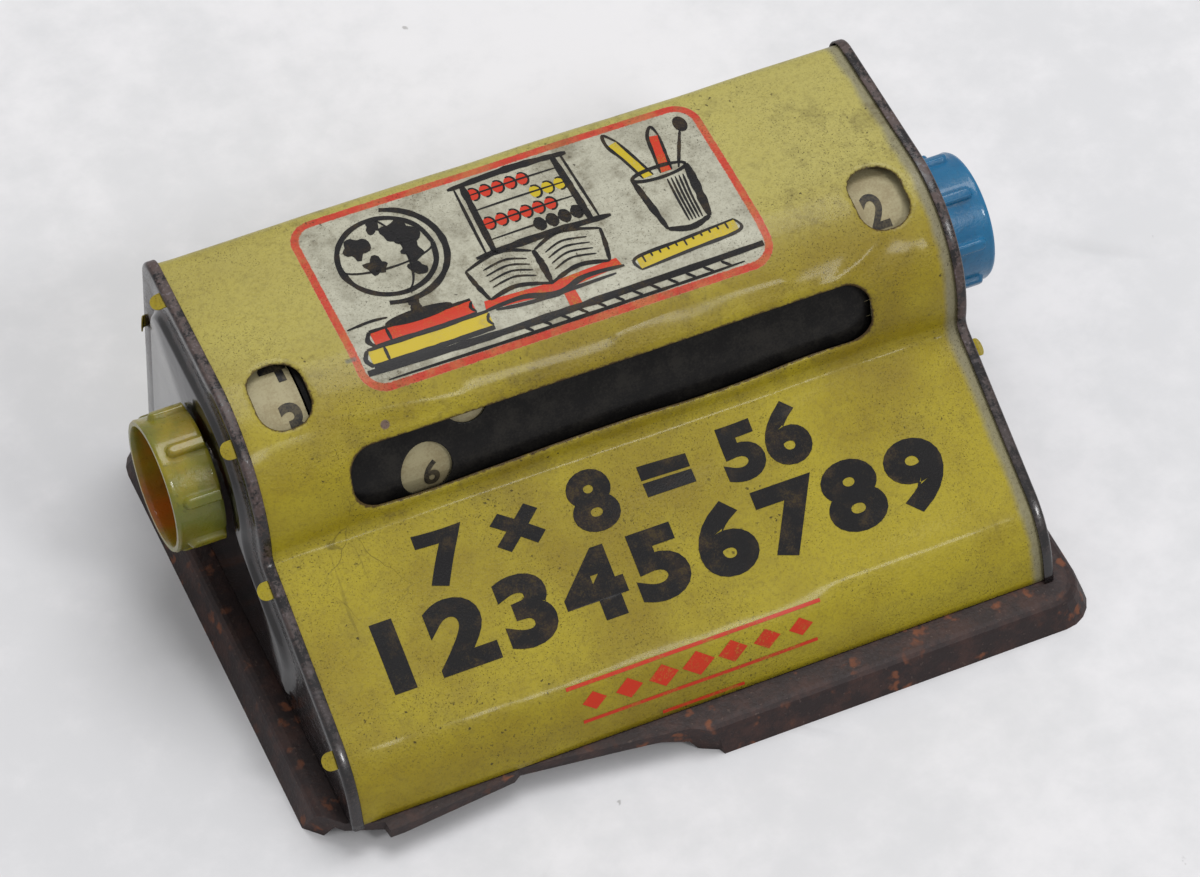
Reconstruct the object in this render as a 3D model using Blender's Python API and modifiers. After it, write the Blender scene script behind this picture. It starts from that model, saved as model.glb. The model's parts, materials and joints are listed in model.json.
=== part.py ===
"""Child's drum multiplication calculator: a bent tin cover between two pressed end plates on a moulded base.

Two knobs share one axis. The left one turns a number ring and the inner drum, which carries the products.
The right one turns another number ring and a black sleeve round the drum, pierced by holes along a helix.
Metres, +Z up, +X towards the right knob, -Y towards the user. The origin is under the middle of the base.
"""

import math

import bmesh
import bpy
from mathutils import Matrix, Vector

# Fits
GAP = 0.0003
OVERRUN = 0.002
EMBED = 0.001
MERGE = 0.000001

# Base
BASE_LENGTH = 0.1974
BASE_DEPTH = 0.1398
BASE_HEIGHT = 0.0080
BASE_FLOOR = 0.0030
BASE_WALL = 0.0030
BASE_CORNER = 0.0090
BASE_DRAFT = 0.0028
BASE_EDGE_ROUND = 0.0018

# Section of the case, square to the drum axis
AXIS_HEIGHT = 0.0453
AXIS_SETBACK = 0.0475
SHOULDER_RADIUS = 0.0290
BACK_REACH = 0.0450
BACK_LEAN = 3.0
BACK_BEND = 0.0050
VALLEY_RADIUS = 0.0040
PANEL_OFFSET = 0.0116
PANEL_END_SETBACK = 0.02326
PANEL_END_HEIGHT = 0.02577
LIP_RADIUS = 0.0220
LIP_SLOPE = 70.0

# Cover
END_SETBACK = 0.0112
COVER_SHEET = 0.0005
TAB_SHEET = 0.0003
TAB_WIDTH = 0.0046
TAB_REACH = 0.0032
TAB_CORNER = 0.0018
TAB_ROOT = TAB_CORNER + EMBED
TAB_BACK_HEIGHT = 0.0509
TAB_TOP_SETBACK = 0.0285
TAB_SHOULDER_ANGLE = 121.4
TAB_VALLEY_SHARE = 0.105
TAB_LIP_TURN = 11.5

# Openings in the cover
WINDOW_SETBACK = 0.0116
WINDOW_WIDTH = 0.0130
WINDOW_HEIGHT = 0.0168
WINDOW_CORNER = 0.0058
WINDOW_ANGLE = 104.4
SLOT_SETBACK = 0.0215
SLOT_HEIGHT = 0.0160
SLOT_CORNER = 0.0066
SLOT_DROP = 0.01088

# End plates
PLATE_SHEET = 0.0006
RIM_DEPTH = 0.0028
RIM_CLEARANCE = 0.0004
PANEL_RISE = 0.0015
PANEL_MARGIN = 0.0062
PANEL_BEVEL = 0.0016
PANEL_BEND = 0.0090
PANEL_FRONT_SHARE = 0.357
PANEL_FRONT_BEND = 0.0095
PANEL_FRONT_SLOPE = 89.0
PANEL_FOOT = 0.0055
FOOT_LENGTH = 0.0090
FOOT_WIDTH = 0.0110
FOOT_SHARES = (-0.373, 0.671)

# Drums and rings
DRUM_SHEET = 0.0005
SLEEVE_RADIUS = 0.0260
SLEEVE_LEFT_SETBACK = 0.0172
SLEEVE_RIGHT_SETBACK = 0.0223
DRUM_CLEARANCE = 0.0005
LEFT_RING_WIDTH = 0.0152
RING_SETBACK = 0.0015
RING_WALL = 0.0010
HUB_WALL = 0.0020
DISC_THICKNESS = 0.0010
DISC_RECESS = 0.0005
DISC_HUB = 0.0050

# Reading holes in the sleeve, one for each step of the right knob
STEPS_PER_TURN = 10
STEP_ANGLE = 360.0 / STEPS_PER_TURN
HOLE_LEFT_MARGIN = 0.0107
HOLE_RIGHT_MARGIN = 0.0141
HOLE_WIDTH = 0.0128
HOLE_HEIGHT = 0.0152
HOLE_SHOWN = 2
HOLE_SHOWN_ANGLE = 165.2

# Shafts and bushes
AXLE_RADIUS = 0.0020
AXLE_PROUD = 0.0005
AXLE_CHAMFER = 0.0004
SHAFT_WALL = 0.0015
BUSH_WALL = 0.0018
BUSH_COLLAR = 0.0006
BUSH_COLLAR_REACH = 0.0025
BUSH_REACH = 0.0017

# Knobs
KNOB_RADIUS = 0.0160
KNOB_LENGTH = 0.0120
KNOB_WALL = 0.0016
KNOB_FLOOR = 0.0025
KNOB_HUB_WALL = 0.0028
KNOB_HUB_HEIGHT = 0.0050
KNOB_LIP = 0.0004
KNOB_LIP_WIDTH = 0.0018
KNOB_CHAMFER = 0.00045
RIB_COUNT = 8
RIB_PHASE = 17.0
RIB_WIDTH = 0.0026
RIB_PROUD = 0.0008
RIB_ROUND = 0.0009
RIB_LENGTH = 0.0088

# Rivets
RIVET_RADIUS = 0.0015
RIVET_HEAD_RADIUS = 0.0030
RIVET_HEAD = 0.0010
RIVET_CROWN_SHARE = 0.6
RIVET_SIDE_SHARE = 0.8

# Facets
ROUND_STEPS = 40
SMALL_STEPS = 24
HOLE_STEPS = 20
SHOULDER_STEPS = 18
BEND_STEPS = 5

# Broken front left of the base, as shares of its half length and half depth
BREAK_SHARES = (
    (-1.10, -0.690), (-1.000, -0.715), (-0.924, -0.824), (-0.837, -0.871), (-0.833, -0.908),
    (-0.798, -0.908), (-0.508, -0.871), (-0.489, -0.853), (-0.429, -0.864), (-0.253, -0.896),
    (-0.076, -0.931), (-0.012, -0.977), (0.025, -1.100), (-1.10, -1.100),
)

# Places that follow from the sizes above
CASE_FOOT = BASE_HEIGHT + GAP
AXIS_Y = BASE_DEPTH / 2 - AXIS_SETBACK
COVER_HALF_LENGTH = BASE_LENGTH / 2 - END_SETBACK
WINDOW_PLACE = COVER_HALF_LENGTH - WINDOW_SETBACK
SLOT_LENGTH = 2 * (COVER_HALF_LENGTH - SLOT_SETBACK)
SLEEVE_LEFT = COVER_HALF_LENGTH - SLEEVE_LEFT_SETBACK
SLEEVE_RIGHT = COVER_HALF_LENGTH - SLEEVE_RIGHT_SETBACK
RING_END = COVER_HALF_LENGTH - RING_SETBACK
FIRST_HOLE = HOLE_LEFT_MARGIN - SLEEVE_LEFT
HOLE_PITCH = (SLEEVE_RIGHT - HOLE_RIGHT_MARGIN - FIRST_HOLE) / (STEPS_PER_TURN - 1)
PLATE_FACE = COVER_HALF_LENGTH + RIM_DEPTH
PLATE_BACK = PLATE_FACE - PLATE_SHEET
BUSH_END = PLATE_BACK - BUSH_REACH
COVER_END = PLATE_BACK - GAP
FIELD_FACE = PLATE_FACE + PANEL_RISE
COLLAR_FACE = FIELD_FACE + GAP + BUSH_COLLAR
KNOB_BACK = COLLAR_FACE + GAP
KNOB_FACE = KNOB_BACK + KNOB_LENGTH
HUB_FACE = KNOB_BACK + KNOB_FLOOR + KNOB_HUB_HEIGHT
AXLE_BORE = AXLE_RADIUS + GAP
SHAFT_BORE = AXLE_BORE
SHAFT_RADIUS = SHAFT_BORE + SHAFT_WALL
SLEEVE_BORE = SLEEVE_RADIUS - DRUM_SHEET
DRUM_RADIUS = SLEEVE_BORE - DRUM_CLEARANCE
DRUM_BORE = DRUM_RADIUS - DRUM_SHEET
LEFT_RING_INNER = RING_END - LEFT_RING_WIDTH
DRUM_LEFT = SLEEVE_LEFT - DISC_RECESS - DISC_THICKNESS - GAP
DRUM_RIGHT = SLEEVE_RIGHT - DISC_RECESS - DISC_THICKNESS - GAP

MODEL_NAME = "drum_calculator"
CUTTER_NAME = "cutters"


def clear_scene():
    """Remove every object from the scene."""
    for item in list(bpy.data.objects):
        bpy.data.objects.remove(item, do_unlink=True)


def collection(name):
    """Return a collection of this name, linked to the scene."""
    found = bpy.data.collections.get(name)
    if found is None:
        found = bpy.data.collections.new(name)
        bpy.context.scene.collection.children.link(found)
    return found


def material(name, colour, roughness, metallic=0.0):
    """Return a Principled material with a plain colour."""
    made = bpy.data.materials.new(name)
    made.use_nodes = True
    shader = made.node_tree.nodes["Principled BSDF"]
    shader.inputs["Base Color"].default_value = (*colour, 1.0)
    shader.inputs["Roughness"].default_value = roughness
    shader.inputs["Metallic"].default_value = metallic
    return made


def add_part(name, form, finish):
    """Put a bmesh in the model as an object with its own material."""
    mesh = bpy.data.meshes.new(name)
    bmesh.ops.recalc_face_normals(form, faces=form.faces[:])
    form.to_mesh(mesh)
    form.free()
    part = bpy.data.objects.new(name, mesh)
    part.data.materials.append(material(name, *finish))
    collection(MODEL_NAME).objects.link(part)
    return part


def add_tool(name, form):
    """Put a bmesh among the cutters, hidden from the render."""
    mesh = bpy.data.meshes.new(name)
    bmesh.ops.recalc_face_normals(form, faces=form.faces[:])
    form.to_mesh(mesh)
    form.free()
    tool = bpy.data.objects.new(name, mesh)
    tool.hide_render = True
    tool.display_type = "WIRE"
    collection(CUTTER_NAME).objects.link(tool)
    return tool


def apply_tool(part, tool, operation):
    """Cut a part with a tool, or join the tool to it."""
    step = part.modifiers.new(tool.name, "BOOLEAN")
    step.operation = operation
    step.solver = "EXACT"
    step.object = tool


def on_drum_axis(part):
    """Lay a turned part along the drum axis, with its own height running along X."""
    part.location = (0.0, AXIS_Y, AXIS_HEIGHT)
    part.rotation_euler = (0.0, math.radians(90.0), 0.0)


def turned(name, profile, finish, closed=True, steps=ROUND_STEPS):
    """Make a turned part from (radius, height) points that run down its outer side."""
    mesh = bpy.data.meshes.new(name)
    points = [(radius, 0.0, height) for radius, height in profile]
    edges = [(index, index + 1) for index in range(len(points) - 1)]
    if closed:
        edges.append((len(points) - 1, 0))
    mesh.from_pydata(points, edges, [])
    part = bpy.data.objects.new(name, mesh)
    part.data.materials.append(material(name, *finish))
    collection(MODEL_NAME).objects.link(part)
    screw = part.modifiers.new("turn", "SCREW")
    screw.steps = steps
    screw.render_steps = steps
    screw.use_merge_vertices = True
    screw.merge_threshold = MERGE
    screw.use_smooth_shade = True
    return part


def turned_on_axis(name, profile, finish, closed=True, steps=ROUND_STEPS):
    """Make a turned part whose heights are places along X."""
    part = turned(name, profile, finish, closed, steps)
    on_drum_axis(part)
    return part


def arc(centre, radius, start, end, steps):
    """Return points on an arc, with angles in degrees from +Y towards +Z."""
    points = []
    for step in range(steps + 1):
        angle = math.radians(start + (end - start) * step / steps)
        points.append((centre[0] + radius * math.cos(angle), centre[1] + radius * math.sin(angle)))
    return points


def panel_end():
    """Return where the front panel ends, counted from the drum axis."""
    return PANEL_END_SETBACK - BASE_DEPTH / 2 - AXIS_Y, PANEL_END_HEIGHT - AXIS_HEIGHT


def panel_slope():
    """Return the slope at which the panel passes the drum axis at its offset and meets its end."""
    y, z = panel_end()
    return math.atan2(z, y) + math.pi + math.asin(PANEL_OFFSET / math.hypot(y, z))


def panel_reach():
    """Return the panel's length, counted from the foot of the drum axis on it."""
    y, z = panel_end()
    return math.sqrt(y ** 2 + z ** 2 - PANEL_OFFSET ** 2)


def panel_frame():
    """Return the front panel's outward normal and its direction down the front."""
    slope = panel_slope()
    normal = (-math.sin(slope), math.cos(slope))
    along = (-math.cos(slope), -math.sin(slope))
    return normal, along


def panel_point(reach, offset=0.0):
    """Return a point on the front panel, a reach down from the drum axis."""
    normal, along = panel_frame()
    height = PANEL_OFFSET + offset
    return (
        AXIS_Y + normal[0] * height + along[0] * reach,
        AXIS_HEIGHT + normal[1] * height + along[1] * reach,
    )


def valley_reach():
    """Return how far down the panel the valley's bend ends."""
    return math.sqrt((SHOULDER_RADIUS + VALLEY_RADIUS) ** 2 - (PANEL_OFFSET + VALLEY_RADIUS) ** 2)


def flat_reach(share):
    """Return the reach of a point at a share of the flat stretch between the valley and the panel's end."""
    return valley_reach() + share * (panel_reach() - valley_reach())


def valley_place():
    """Return the centre of the bend between shoulder and panel, counted from the drum axis."""
    normal, along = panel_frame()
    across, down = PANEL_OFFSET + VALLEY_RADIUS, valley_reach()
    return normal[0] * across + along[0] * down, normal[1] * across + along[1] * down


def shoulder_end_angle():
    """Return the angle round the drum axis at which the shoulder turns into the valley."""
    y, z = valley_place()
    return math.degrees(math.atan2(z, y)) % 360.0


def slot_angle():
    """Return the angle of the slot's middle, a drop above the shoulder's end."""
    return shoulder_end_angle() - math.degrees(SLOT_DROP / SHOULDER_RADIUS)


def back_line(height, offset=0.0):
    """Return the depth of the leaning back at a height."""
    lean = math.radians(BACK_LEAN)
    foot = (AXIS_Y + BACK_REACH) * math.cos(lean) + CASE_FOOT * math.sin(lean)
    return (foot + offset - height * math.sin(lean)) / math.cos(lean)


def case_outline(offset, foot, bend=BACK_BEND, reach_share=1.0, end_bend=LIP_RADIUS, end_slope=LIP_SLOPE):
    """Return the case's section from the back foot, over the top and down the front, as (y, z) points."""
    axis = (AXIS_Y, AXIS_HEIGHT)
    points = [(back_line(foot, offset), foot)]
    bend_height = AXIS_HEIGHT + SHOULDER_RADIUS - bend
    bend_centre = (back_line(bend_height, -bend), bend_height)
    points += arc(bend_centre, bend + offset, BACK_LEAN, 90.0, BEND_STEPS)
    valley_y, valley_z = valley_place()
    shoulder_end = shoulder_end_angle()
    points += arc(axis, SHOULDER_RADIUS + offset, 90.0, shoulder_end, SHOULDER_STEPS)
    valley_centre = (AXIS_Y + valley_y, AXIS_HEIGHT + valley_z)
    panel_normal = 90.0 + math.degrees(panel_slope())
    start, end = shoulder_end + 180.0, panel_normal + 180.0
    points += arc(valley_centre, VALLEY_RADIUS - offset, start, end, BEND_STEPS)[1:]
    end_centre = panel_point(flat_reach(reach_share), -end_bend)
    points += arc(end_centre, end_bend + offset, panel_normal, 90.0 + end_slope, BEND_STEPS)
    last = points[-1]
    fall = math.radians(end_slope)
    points.append((last[0] - (last[1] - foot) / math.tan(fall), foot))
    return points


def add_face(form, points, place):
    """Add one flat face across X from (y, z) points."""
    return form.faces.new([form.verts.new((place, y, z)) for y, z in points])


def prism(points, start, end, end_points=None):
    """Make a solid between two outlines across X, which may differ."""
    form = bmesh.new()
    face = add_face(form, points, start)
    grown = bmesh.ops.extrude_face_region(form, geom=[face])
    moved = [item for item in grown["geom"] if isinstance(item, bmesh.types.BMVert)]
    targets = {(round(y, 9), round(z, 9)): pair for (y, z), pair in zip(points, end_points or points)}
    for vert in moved:
        y, z = min(targets, key=lambda key: (key[0] - vert.co.y) ** 2 + (key[1] - vert.co.z) ** 2)
        pair = targets[(y, z)]
        vert.co = Vector((end, pair[0], pair[1]))
    return form


def box(form, size, matrix):
    """Add a box of this size to a form and return its corners."""
    made = bmesh.ops.create_cube(form, size=1.0)
    bmesh.ops.scale(form, vec=size, verts=made["verts"])
    bmesh.ops.transform(form, matrix=matrix, verts=made["verts"])
    return made["verts"]


def round_edges(form, verts, direction, radius, segments):
    """Round a box's edges that run along a direction."""
    axis = Vector(direction).normalized()
    edges = []
    for edge in {edge for vert in verts for edge in vert.link_edges}:
        run = (edge.verts[1].co - edge.verts[0].co).normalized()
        if abs(run.dot(axis)) > 0.99:
            edges.append(edge)
    bmesh.ops.bevel(
        form, geom=edges, offset=radius, segments=segments, profile=0.5, affect="EDGES", material=-1,
        clamp_overlap=True,
    )


def rounded_bar(form, size, radius, matrix, segments=BEND_STEPS):
    """Add a bar whose corners are rounded as seen along its own Z."""
    verts = box(form, size, matrix)
    round_edges(form, verts, matrix.to_3x3() @ Vector((0.0, 0.0, 1.0)), radius, segments)


def radial_frame(place, angle, radius):
    """Return a frame at an angle round the drum axis, with Z pointing outwards."""
    turn = Matrix.Rotation(math.radians(angle - 90.0), 4, "X")
    middle = Matrix.Translation((place, AXIS_Y, AXIS_HEIGHT))
    return middle @ turn @ Matrix.Translation((0.0, 0.0, radius))


def tab_frames():
    """Return (y, z, angle of the outward normal) for each tab along the cover's edge."""
    shoulder = math.radians(TAB_SHOULDER_ANGLE)
    panel_normal = 90.0 + math.degrees(panel_slope())
    lip_normal = panel_normal + TAB_LIP_TURN
    lip = math.radians(lip_normal)
    lip_y, lip_z = panel_point(panel_reach(), -LIP_RADIUS)
    return [
        (back_line(TAB_BACK_HEIGHT), TAB_BACK_HEIGHT, BACK_LEAN),
        (AXIS_Y + TAB_TOP_SETBACK, AXIS_HEIGHT + SHOULDER_RADIUS, 90.0),
        (
            AXIS_Y + SHOULDER_RADIUS * math.cos(shoulder),
            AXIS_HEIGHT + SHOULDER_RADIUS * math.sin(shoulder),
            TAB_SHOULDER_ANGLE,
        ),
        (*panel_point(flat_reach(TAB_VALLEY_SHARE)), panel_normal),
        (lip_y + LIP_RADIUS * math.cos(lip), lip_z + LIP_RADIUS * math.sin(lip), lip_normal),
    ]


def tab_bars(form, side, inner, outer, width, sheet, corner):
    """Add a bar for each tab at one end of the case, between two places along X."""
    for y, z, angle in tab_frames():
        turn = Matrix.Rotation(math.radians(angle - 90.0), 4, "X")
        middle = Matrix.Translation((side * (inner + outer) / 2, y, z))
        matrix = middle @ turn @ Matrix.Translation((0.0, 0.0, -COVER_SHEET / 2))
        rounded_bar(form, (outer - inner, width, sheet), corner, matrix, 3)


def make_base():
    """Make the moulded base: a shallow tray upside down, with drafted walls and a broken front left."""
    form = bmesh.new()
    size = (BASE_LENGTH, BASE_DEPTH, BASE_HEIGHT)
    verts = box(form, size, Matrix.Translation((0.0, 0.0, BASE_HEIGHT / 2)))
    round_edges(form, verts, (0.0, 0.0, 1.0), BASE_CORNER, BEND_STEPS)
    taper_top(form, BASE_HEIGHT, BASE_LENGTH, BASE_DEPTH)
    rim = [edge for edge in form.edges if all(vert.co.z > BASE_HEIGHT - EMBED for vert in edge.verts)]
    bmesh.ops.bevel(
        form, geom=rim, offset=BASE_EDGE_ROUND, segments=3, profile=0.5, affect="EDGES", material=-1,
    )
    part = add_part("base", form, ((0.045, 0.026, 0.022), 0.35))

    hollow = bmesh.new()
    height = BASE_HEIGHT - BASE_FLOOR + OVERRUN
    room = (BASE_LENGTH - 2 * BASE_WALL, BASE_DEPTH - 2 * BASE_WALL, height)
    verts = box(hollow, room, Matrix.Translation((0.0, 0.0, height / 2 - OVERRUN)))
    round_edges(hollow, verts, (0.0, 0.0, 1.0), BASE_CORNER - BASE_WALL, BEND_STEPS)
    taper_top(hollow, height - OVERRUN, room[0], room[1])
    apply_tool(part, add_tool("base_hollow", hollow), "DIFFERENCE")

    broken = bmesh.new()
    outline = [(x * BASE_LENGTH / 2, y * BASE_DEPTH / 2) for x, y in BREAK_SHARES]
    face = broken.faces.new([broken.verts.new((x, y, -OVERRUN)) for x, y in outline])
    grown = bmesh.ops.extrude_face_region(broken, geom=[face])
    lifted = [item for item in grown["geom"] if isinstance(item, bmesh.types.BMVert)]
    bmesh.ops.translate(broken, vec=(0.0, 0.0, BASE_HEIGHT + 2 * OVERRUN), verts=lifted)
    apply_tool(part, add_tool("base_break", broken), "DIFFERENCE")

    holes = bmesh.new()
    for x, y in rivet_places():
        matrix = Matrix.Translation((x, y, BASE_HEIGHT / 2))
        add_rod(holes, RIVET_RADIUS + GAP, BASE_HEIGHT + 2 * OVERRUN, matrix, SMALL_STEPS)
    apply_tool(part, add_tool("base_rivet_holes", holes), "DIFFERENCE")


def taper_top(form, height, length, depth):
    """Draw in the top of a block by the base's draft."""
    top = [vert for vert in form.verts if vert.co.z > height - EMBED]
    bmesh.ops.scale(form, vec=(1.0 - 2 * BASE_DRAFT / length, 1.0 - 2 * BASE_DRAFT / depth, 1.0), verts=top)


def add_rod(form, radius, length, matrix, steps):
    """Add a round rod along a frame's Z."""
    bmesh.ops.create_cone(
        form, cap_ends=True, segments=steps, radius1=radius, radius2=radius, depth=length, matrix=matrix
    )


def rivet_places():
    """Return where the rivets stand, two at each end of the case."""
    across = PLATE_BACK - FOOT_LENGTH / 2
    return [(side * across, share * BASE_DEPTH / 2) for side in (-1, 1) for share in FOOT_SHARES]


def make_rivets():
    """Make the rivets that hold the end plates' feet on the base."""
    low = BASE_HEIGHT - BASE_FLOOR - GAP
    high = CASE_FOOT + PLATE_SHEET + GAP
    head, crown = RIVET_HEAD_RADIUS, RIVET_HEAD_RADIUS * RIVET_CROWN_SHARE
    side = RIVET_HEAD * RIVET_SIDE_SHARE
    profile = [
        (0.0, high + RIVET_HEAD), (crown, high + side), (head, high), (RIVET_RADIUS, high),
        (RIVET_RADIUS, low), (head, low), (crown, low - side), (0.0, low - RIVET_HEAD),
    ]
    for number, (x, y) in enumerate(rivet_places(), start=1):
        rivet = turned(f"base_rivet_{number}", profile, ((0.42, 0.40, 0.37), 0.4, 0.9), False, SMALL_STEPS)
        rivet.location = (x, y, 0.0)


def make_cover():
    """Make the bent cover with its windows, slot and tabs."""
    form = bmesh.new()
    chain = [form.verts.new((-COVER_END, y, z)) for y, z in case_outline(0.0, CASE_FOOT)]
    edges = [form.edges.new(pair) for pair in zip(chain, chain[1:])]
    grown = bmesh.ops.extrude_edge_only(form, edges=edges)
    moved = [item for item in grown["geom"] if isinstance(item, bmesh.types.BMVert)]
    bmesh.ops.translate(form, vec=(2 * COVER_END, 0.0, 0.0), verts=moved)
    if sum(face.normal.z for face in form.faces) < 0:
        bmesh.ops.reverse_faces(form, faces=form.faces[:])
    bmesh.ops.solidify(form, geom=form.faces[:], thickness=COVER_SHEET)
    part = add_part("cover", form, ((0.45, 0.38, 0.05), 0.35))

    cuts = bmesh.new()
    depth = 2 * SHOULDER_RADIUS - 2 * SLEEVE_RADIUS
    for side in (-1, 1):
        frame = radial_frame(side * WINDOW_PLACE, WINDOW_ANGLE, SHOULDER_RADIUS)
        rounded_bar(cuts, (WINDOW_WIDTH, WINDOW_HEIGHT, depth), WINDOW_CORNER, frame)
    frame = radial_frame(0.0, slot_angle(), SHOULDER_RADIUS)
    rounded_bar(cuts, (SLOT_LENGTH, SLOT_HEIGHT, depth), SLOT_CORNER, frame)
    apply_tool(part, add_tool("cover_openings", cuts), "DIFFERENCE")

    tabs = bmesh.new()
    for side in (-1, 1):
        tab_bars(tabs, side, COVER_END - TAB_ROOT, PLATE_FACE + TAB_REACH, TAB_WIDTH, TAB_SHEET, TAB_CORNER)
    apply_tool(part, add_tool("cover_tabs", tabs), "UNION")


def panel_outline(inset):
    """Return the raised field of an end plate, drawn in from the case's section."""
    return case_outline(
        -PANEL_MARGIN - inset, CASE_FOOT + PANEL_FOOT + inset, PANEL_BEND, PANEL_FRONT_SHARE,
        PANEL_FRONT_BEND, PANEL_FRONT_SLOPE,
    )


def make_end_plate(name, side):
    """Make one pressed end plate: a cap with a rim, a raised field, feet and slits."""
    outer = case_outline(RIM_CLEARANCE + PLATE_SHEET, CASE_FOOT)
    form = prism(outer, side * COVER_HALF_LENGTH, side * PLATE_FACE)
    part = add_part(name, form, ((0.02, 0.017, 0.02), 0.2))

    inner = case_outline(RIM_CLEARANCE, CASE_FOOT - OVERRUN)
    pocket = prism(inner, side * (COVER_HALF_LENGTH - OVERRUN), side * PLATE_BACK)
    apply_tool(part, add_tool(name + "_pocket", pocket), "DIFFERENCE")

    low, high = panel_outline(0.0), panel_outline(PANEL_BEVEL)
    sunk = PLATE_SHEET / 2
    field = prism(low, side * (PLATE_FACE - sunk), side * FIELD_FACE, high)
    apply_tool(part, add_tool(name + "_field", field), "UNION")
    dish = prism(low, side * (PLATE_BACK - sunk), side * (FIELD_FACE - PLATE_SHEET), high)
    apply_tool(part, add_tool(name + "_dish", dish), "DIFFERENCE")

    feet = bmesh.new()
    for share in FOOT_SHARES:
        middle = PLATE_BACK - FOOT_LENGTH / 2 + sunk / 2
        matrix = Matrix.Translation((side * middle, share * BASE_DEPTH / 2, CASE_FOOT + PLATE_SHEET / 2))
        box(feet, (FOOT_LENGTH + sunk, FOOT_WIDTH, PLATE_SHEET), matrix)
    apply_tool(part, add_tool(name + "_feet", feet), "UNION")

    slits = bmesh.new()
    width, sheet = TAB_WIDTH + 2 * GAP, TAB_SHEET + 2 * GAP
    tab_bars(slits, side, PLATE_BACK - OVERRUN, PLATE_FACE + OVERRUN, width, sheet, GAP)
    apply_tool(part, add_tool(name + "_slits", slits), "DIFFERENCE")

    holes = bmesh.new()
    bore = BUSH_WALL + (AXLE_BORE if side < 0 else SHAFT_RADIUS + GAP) + GAP
    middle = Matrix.Translation((side * PLATE_FACE, AXIS_Y, AXIS_HEIGHT))
    add_rod(holes, bore, 4 * RIM_DEPTH, middle @ Matrix.Rotation(math.pi / 2, 4, "Y"), ROUND_STEPS)
    for x, y in rivet_places():
        if x * side > 0:
            matrix = Matrix.Translation((x, y, CASE_FOOT))
            add_rod(holes, RIVET_RADIUS + GAP, 2 * OVERRUN, matrix, SMALL_STEPS)
    apply_tool(part, add_tool(name + "_holes", holes), "DIFFERENCE")


def make_bush(name, side, bore):
    """Make a bearing bush with a collar outside the end plate."""
    body = bore + BUSH_WALL
    collar = body + BUSH_COLLAR_REACH
    face, seat, end = COLLAR_FACE, FIELD_FACE + GAP, BUSH_END
    profile = [(collar, face), (collar, seat), (body, seat), (body, end), (bore, end), (bore, face)]
    turned_on_axis(name, mirrored(profile, side), ((0.30, 0.28, 0.26), 0.4, 0.8), True, SMALL_STEPS)


def mirrored(profile, side):
    """Return a profile for the right end, or its mirror image for the left end."""
    if side > 0:
        return profile
    return [(radius, -height) for radius, height in reversed(profile)]


def make_shafts():
    """Make the axle and the hollow shaft round its right end."""
    steel = ((0.45, 0.43, 0.40), 0.35, 0.9)
    left, right = -(HUB_FACE + AXLE_PROUD), PLATE_FACE
    thin = AXLE_RADIUS - AXLE_CHAMFER
    axle = [
        (0.0, right), (thin, right), (AXLE_RADIUS, right - AXLE_CHAMFER),
        (AXLE_RADIUS, left + AXLE_CHAMFER), (thin, left), (0.0, left),
    ]
    turned_on_axis("axle", axle, steel, False, SMALL_STEPS)
    start, end = DRUM_RIGHT, HUB_FACE + AXLE_PROUD
    shaft = [(SHAFT_RADIUS, end), (SHAFT_RADIUS, start), (SHAFT_BORE, start), (SHAFT_BORE, end)]
    turned_on_axis("hollow_shaft", shaft, steel, True, SMALL_STEPS)


def make_number_ring(name, side, inner, hub_inner, bore):
    """Make a number ring: a short cup on a hub, open towards the sleeve."""
    rim, hub = SLEEVE_RADIUS, bore + HUB_WALL
    web = RING_END - DISC_THICKNESS
    profile = [
        (hub, BUSH_END - GAP), (hub, RING_END), (rim, RING_END), (rim, inner), (rim - RING_WALL, inner),
        (rim - RING_WALL, web), (hub, web), (hub, hub_inner), (bore, hub_inner), (bore, BUSH_END - GAP),
    ]
    turned_on_axis(name, mirrored(profile, side), ((0.62, 0.55, 0.40), 0.5))


def make_disc(name, side, radius, place, hub_start, hub_end, bore, finish):
    """Make a disc on a hub, with the disc's outer face at a place along X."""
    hub, back = bore + HUB_WALL, place - DISC_THICKNESS
    profile = [(hub, hub_end), (hub, place), (radius, place), (radius, back), (hub, back), (hub, hub_start)]
    profile += [(bore, hub_start), (bore, hub_end)]
    if hub_end <= place:
        profile = profile[2:-1] + [(bore, place)]
    turned_on_axis(name, mirrored(profile, side), finish)


def make_drum():
    """Make the inner drum and the discs that carry it on the axle."""
    cream = ((0.60, 0.52, 0.36), 0.5)
    tube = [
        (DRUM_RADIUS, DRUM_RIGHT), (DRUM_RADIUS, -DRUM_LEFT),
        (DRUM_BORE, -DRUM_LEFT), (DRUM_BORE, DRUM_RIGHT),
    ]
    turned_on_axis("inner_drum", tube, cream)
    radius = DRUM_BORE - GAP
    left, right = DRUM_LEFT - DISC_RECESS, DRUM_RIGHT - DISC_RECESS
    make_disc("inner_drum_left_disc", -1, radius, left, left - DISC_HUB, left, AXLE_BORE, cream)
    make_disc("inner_drum_right_disc", 1, radius, right, right - DISC_HUB, right, AXLE_BORE, cream)


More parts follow.
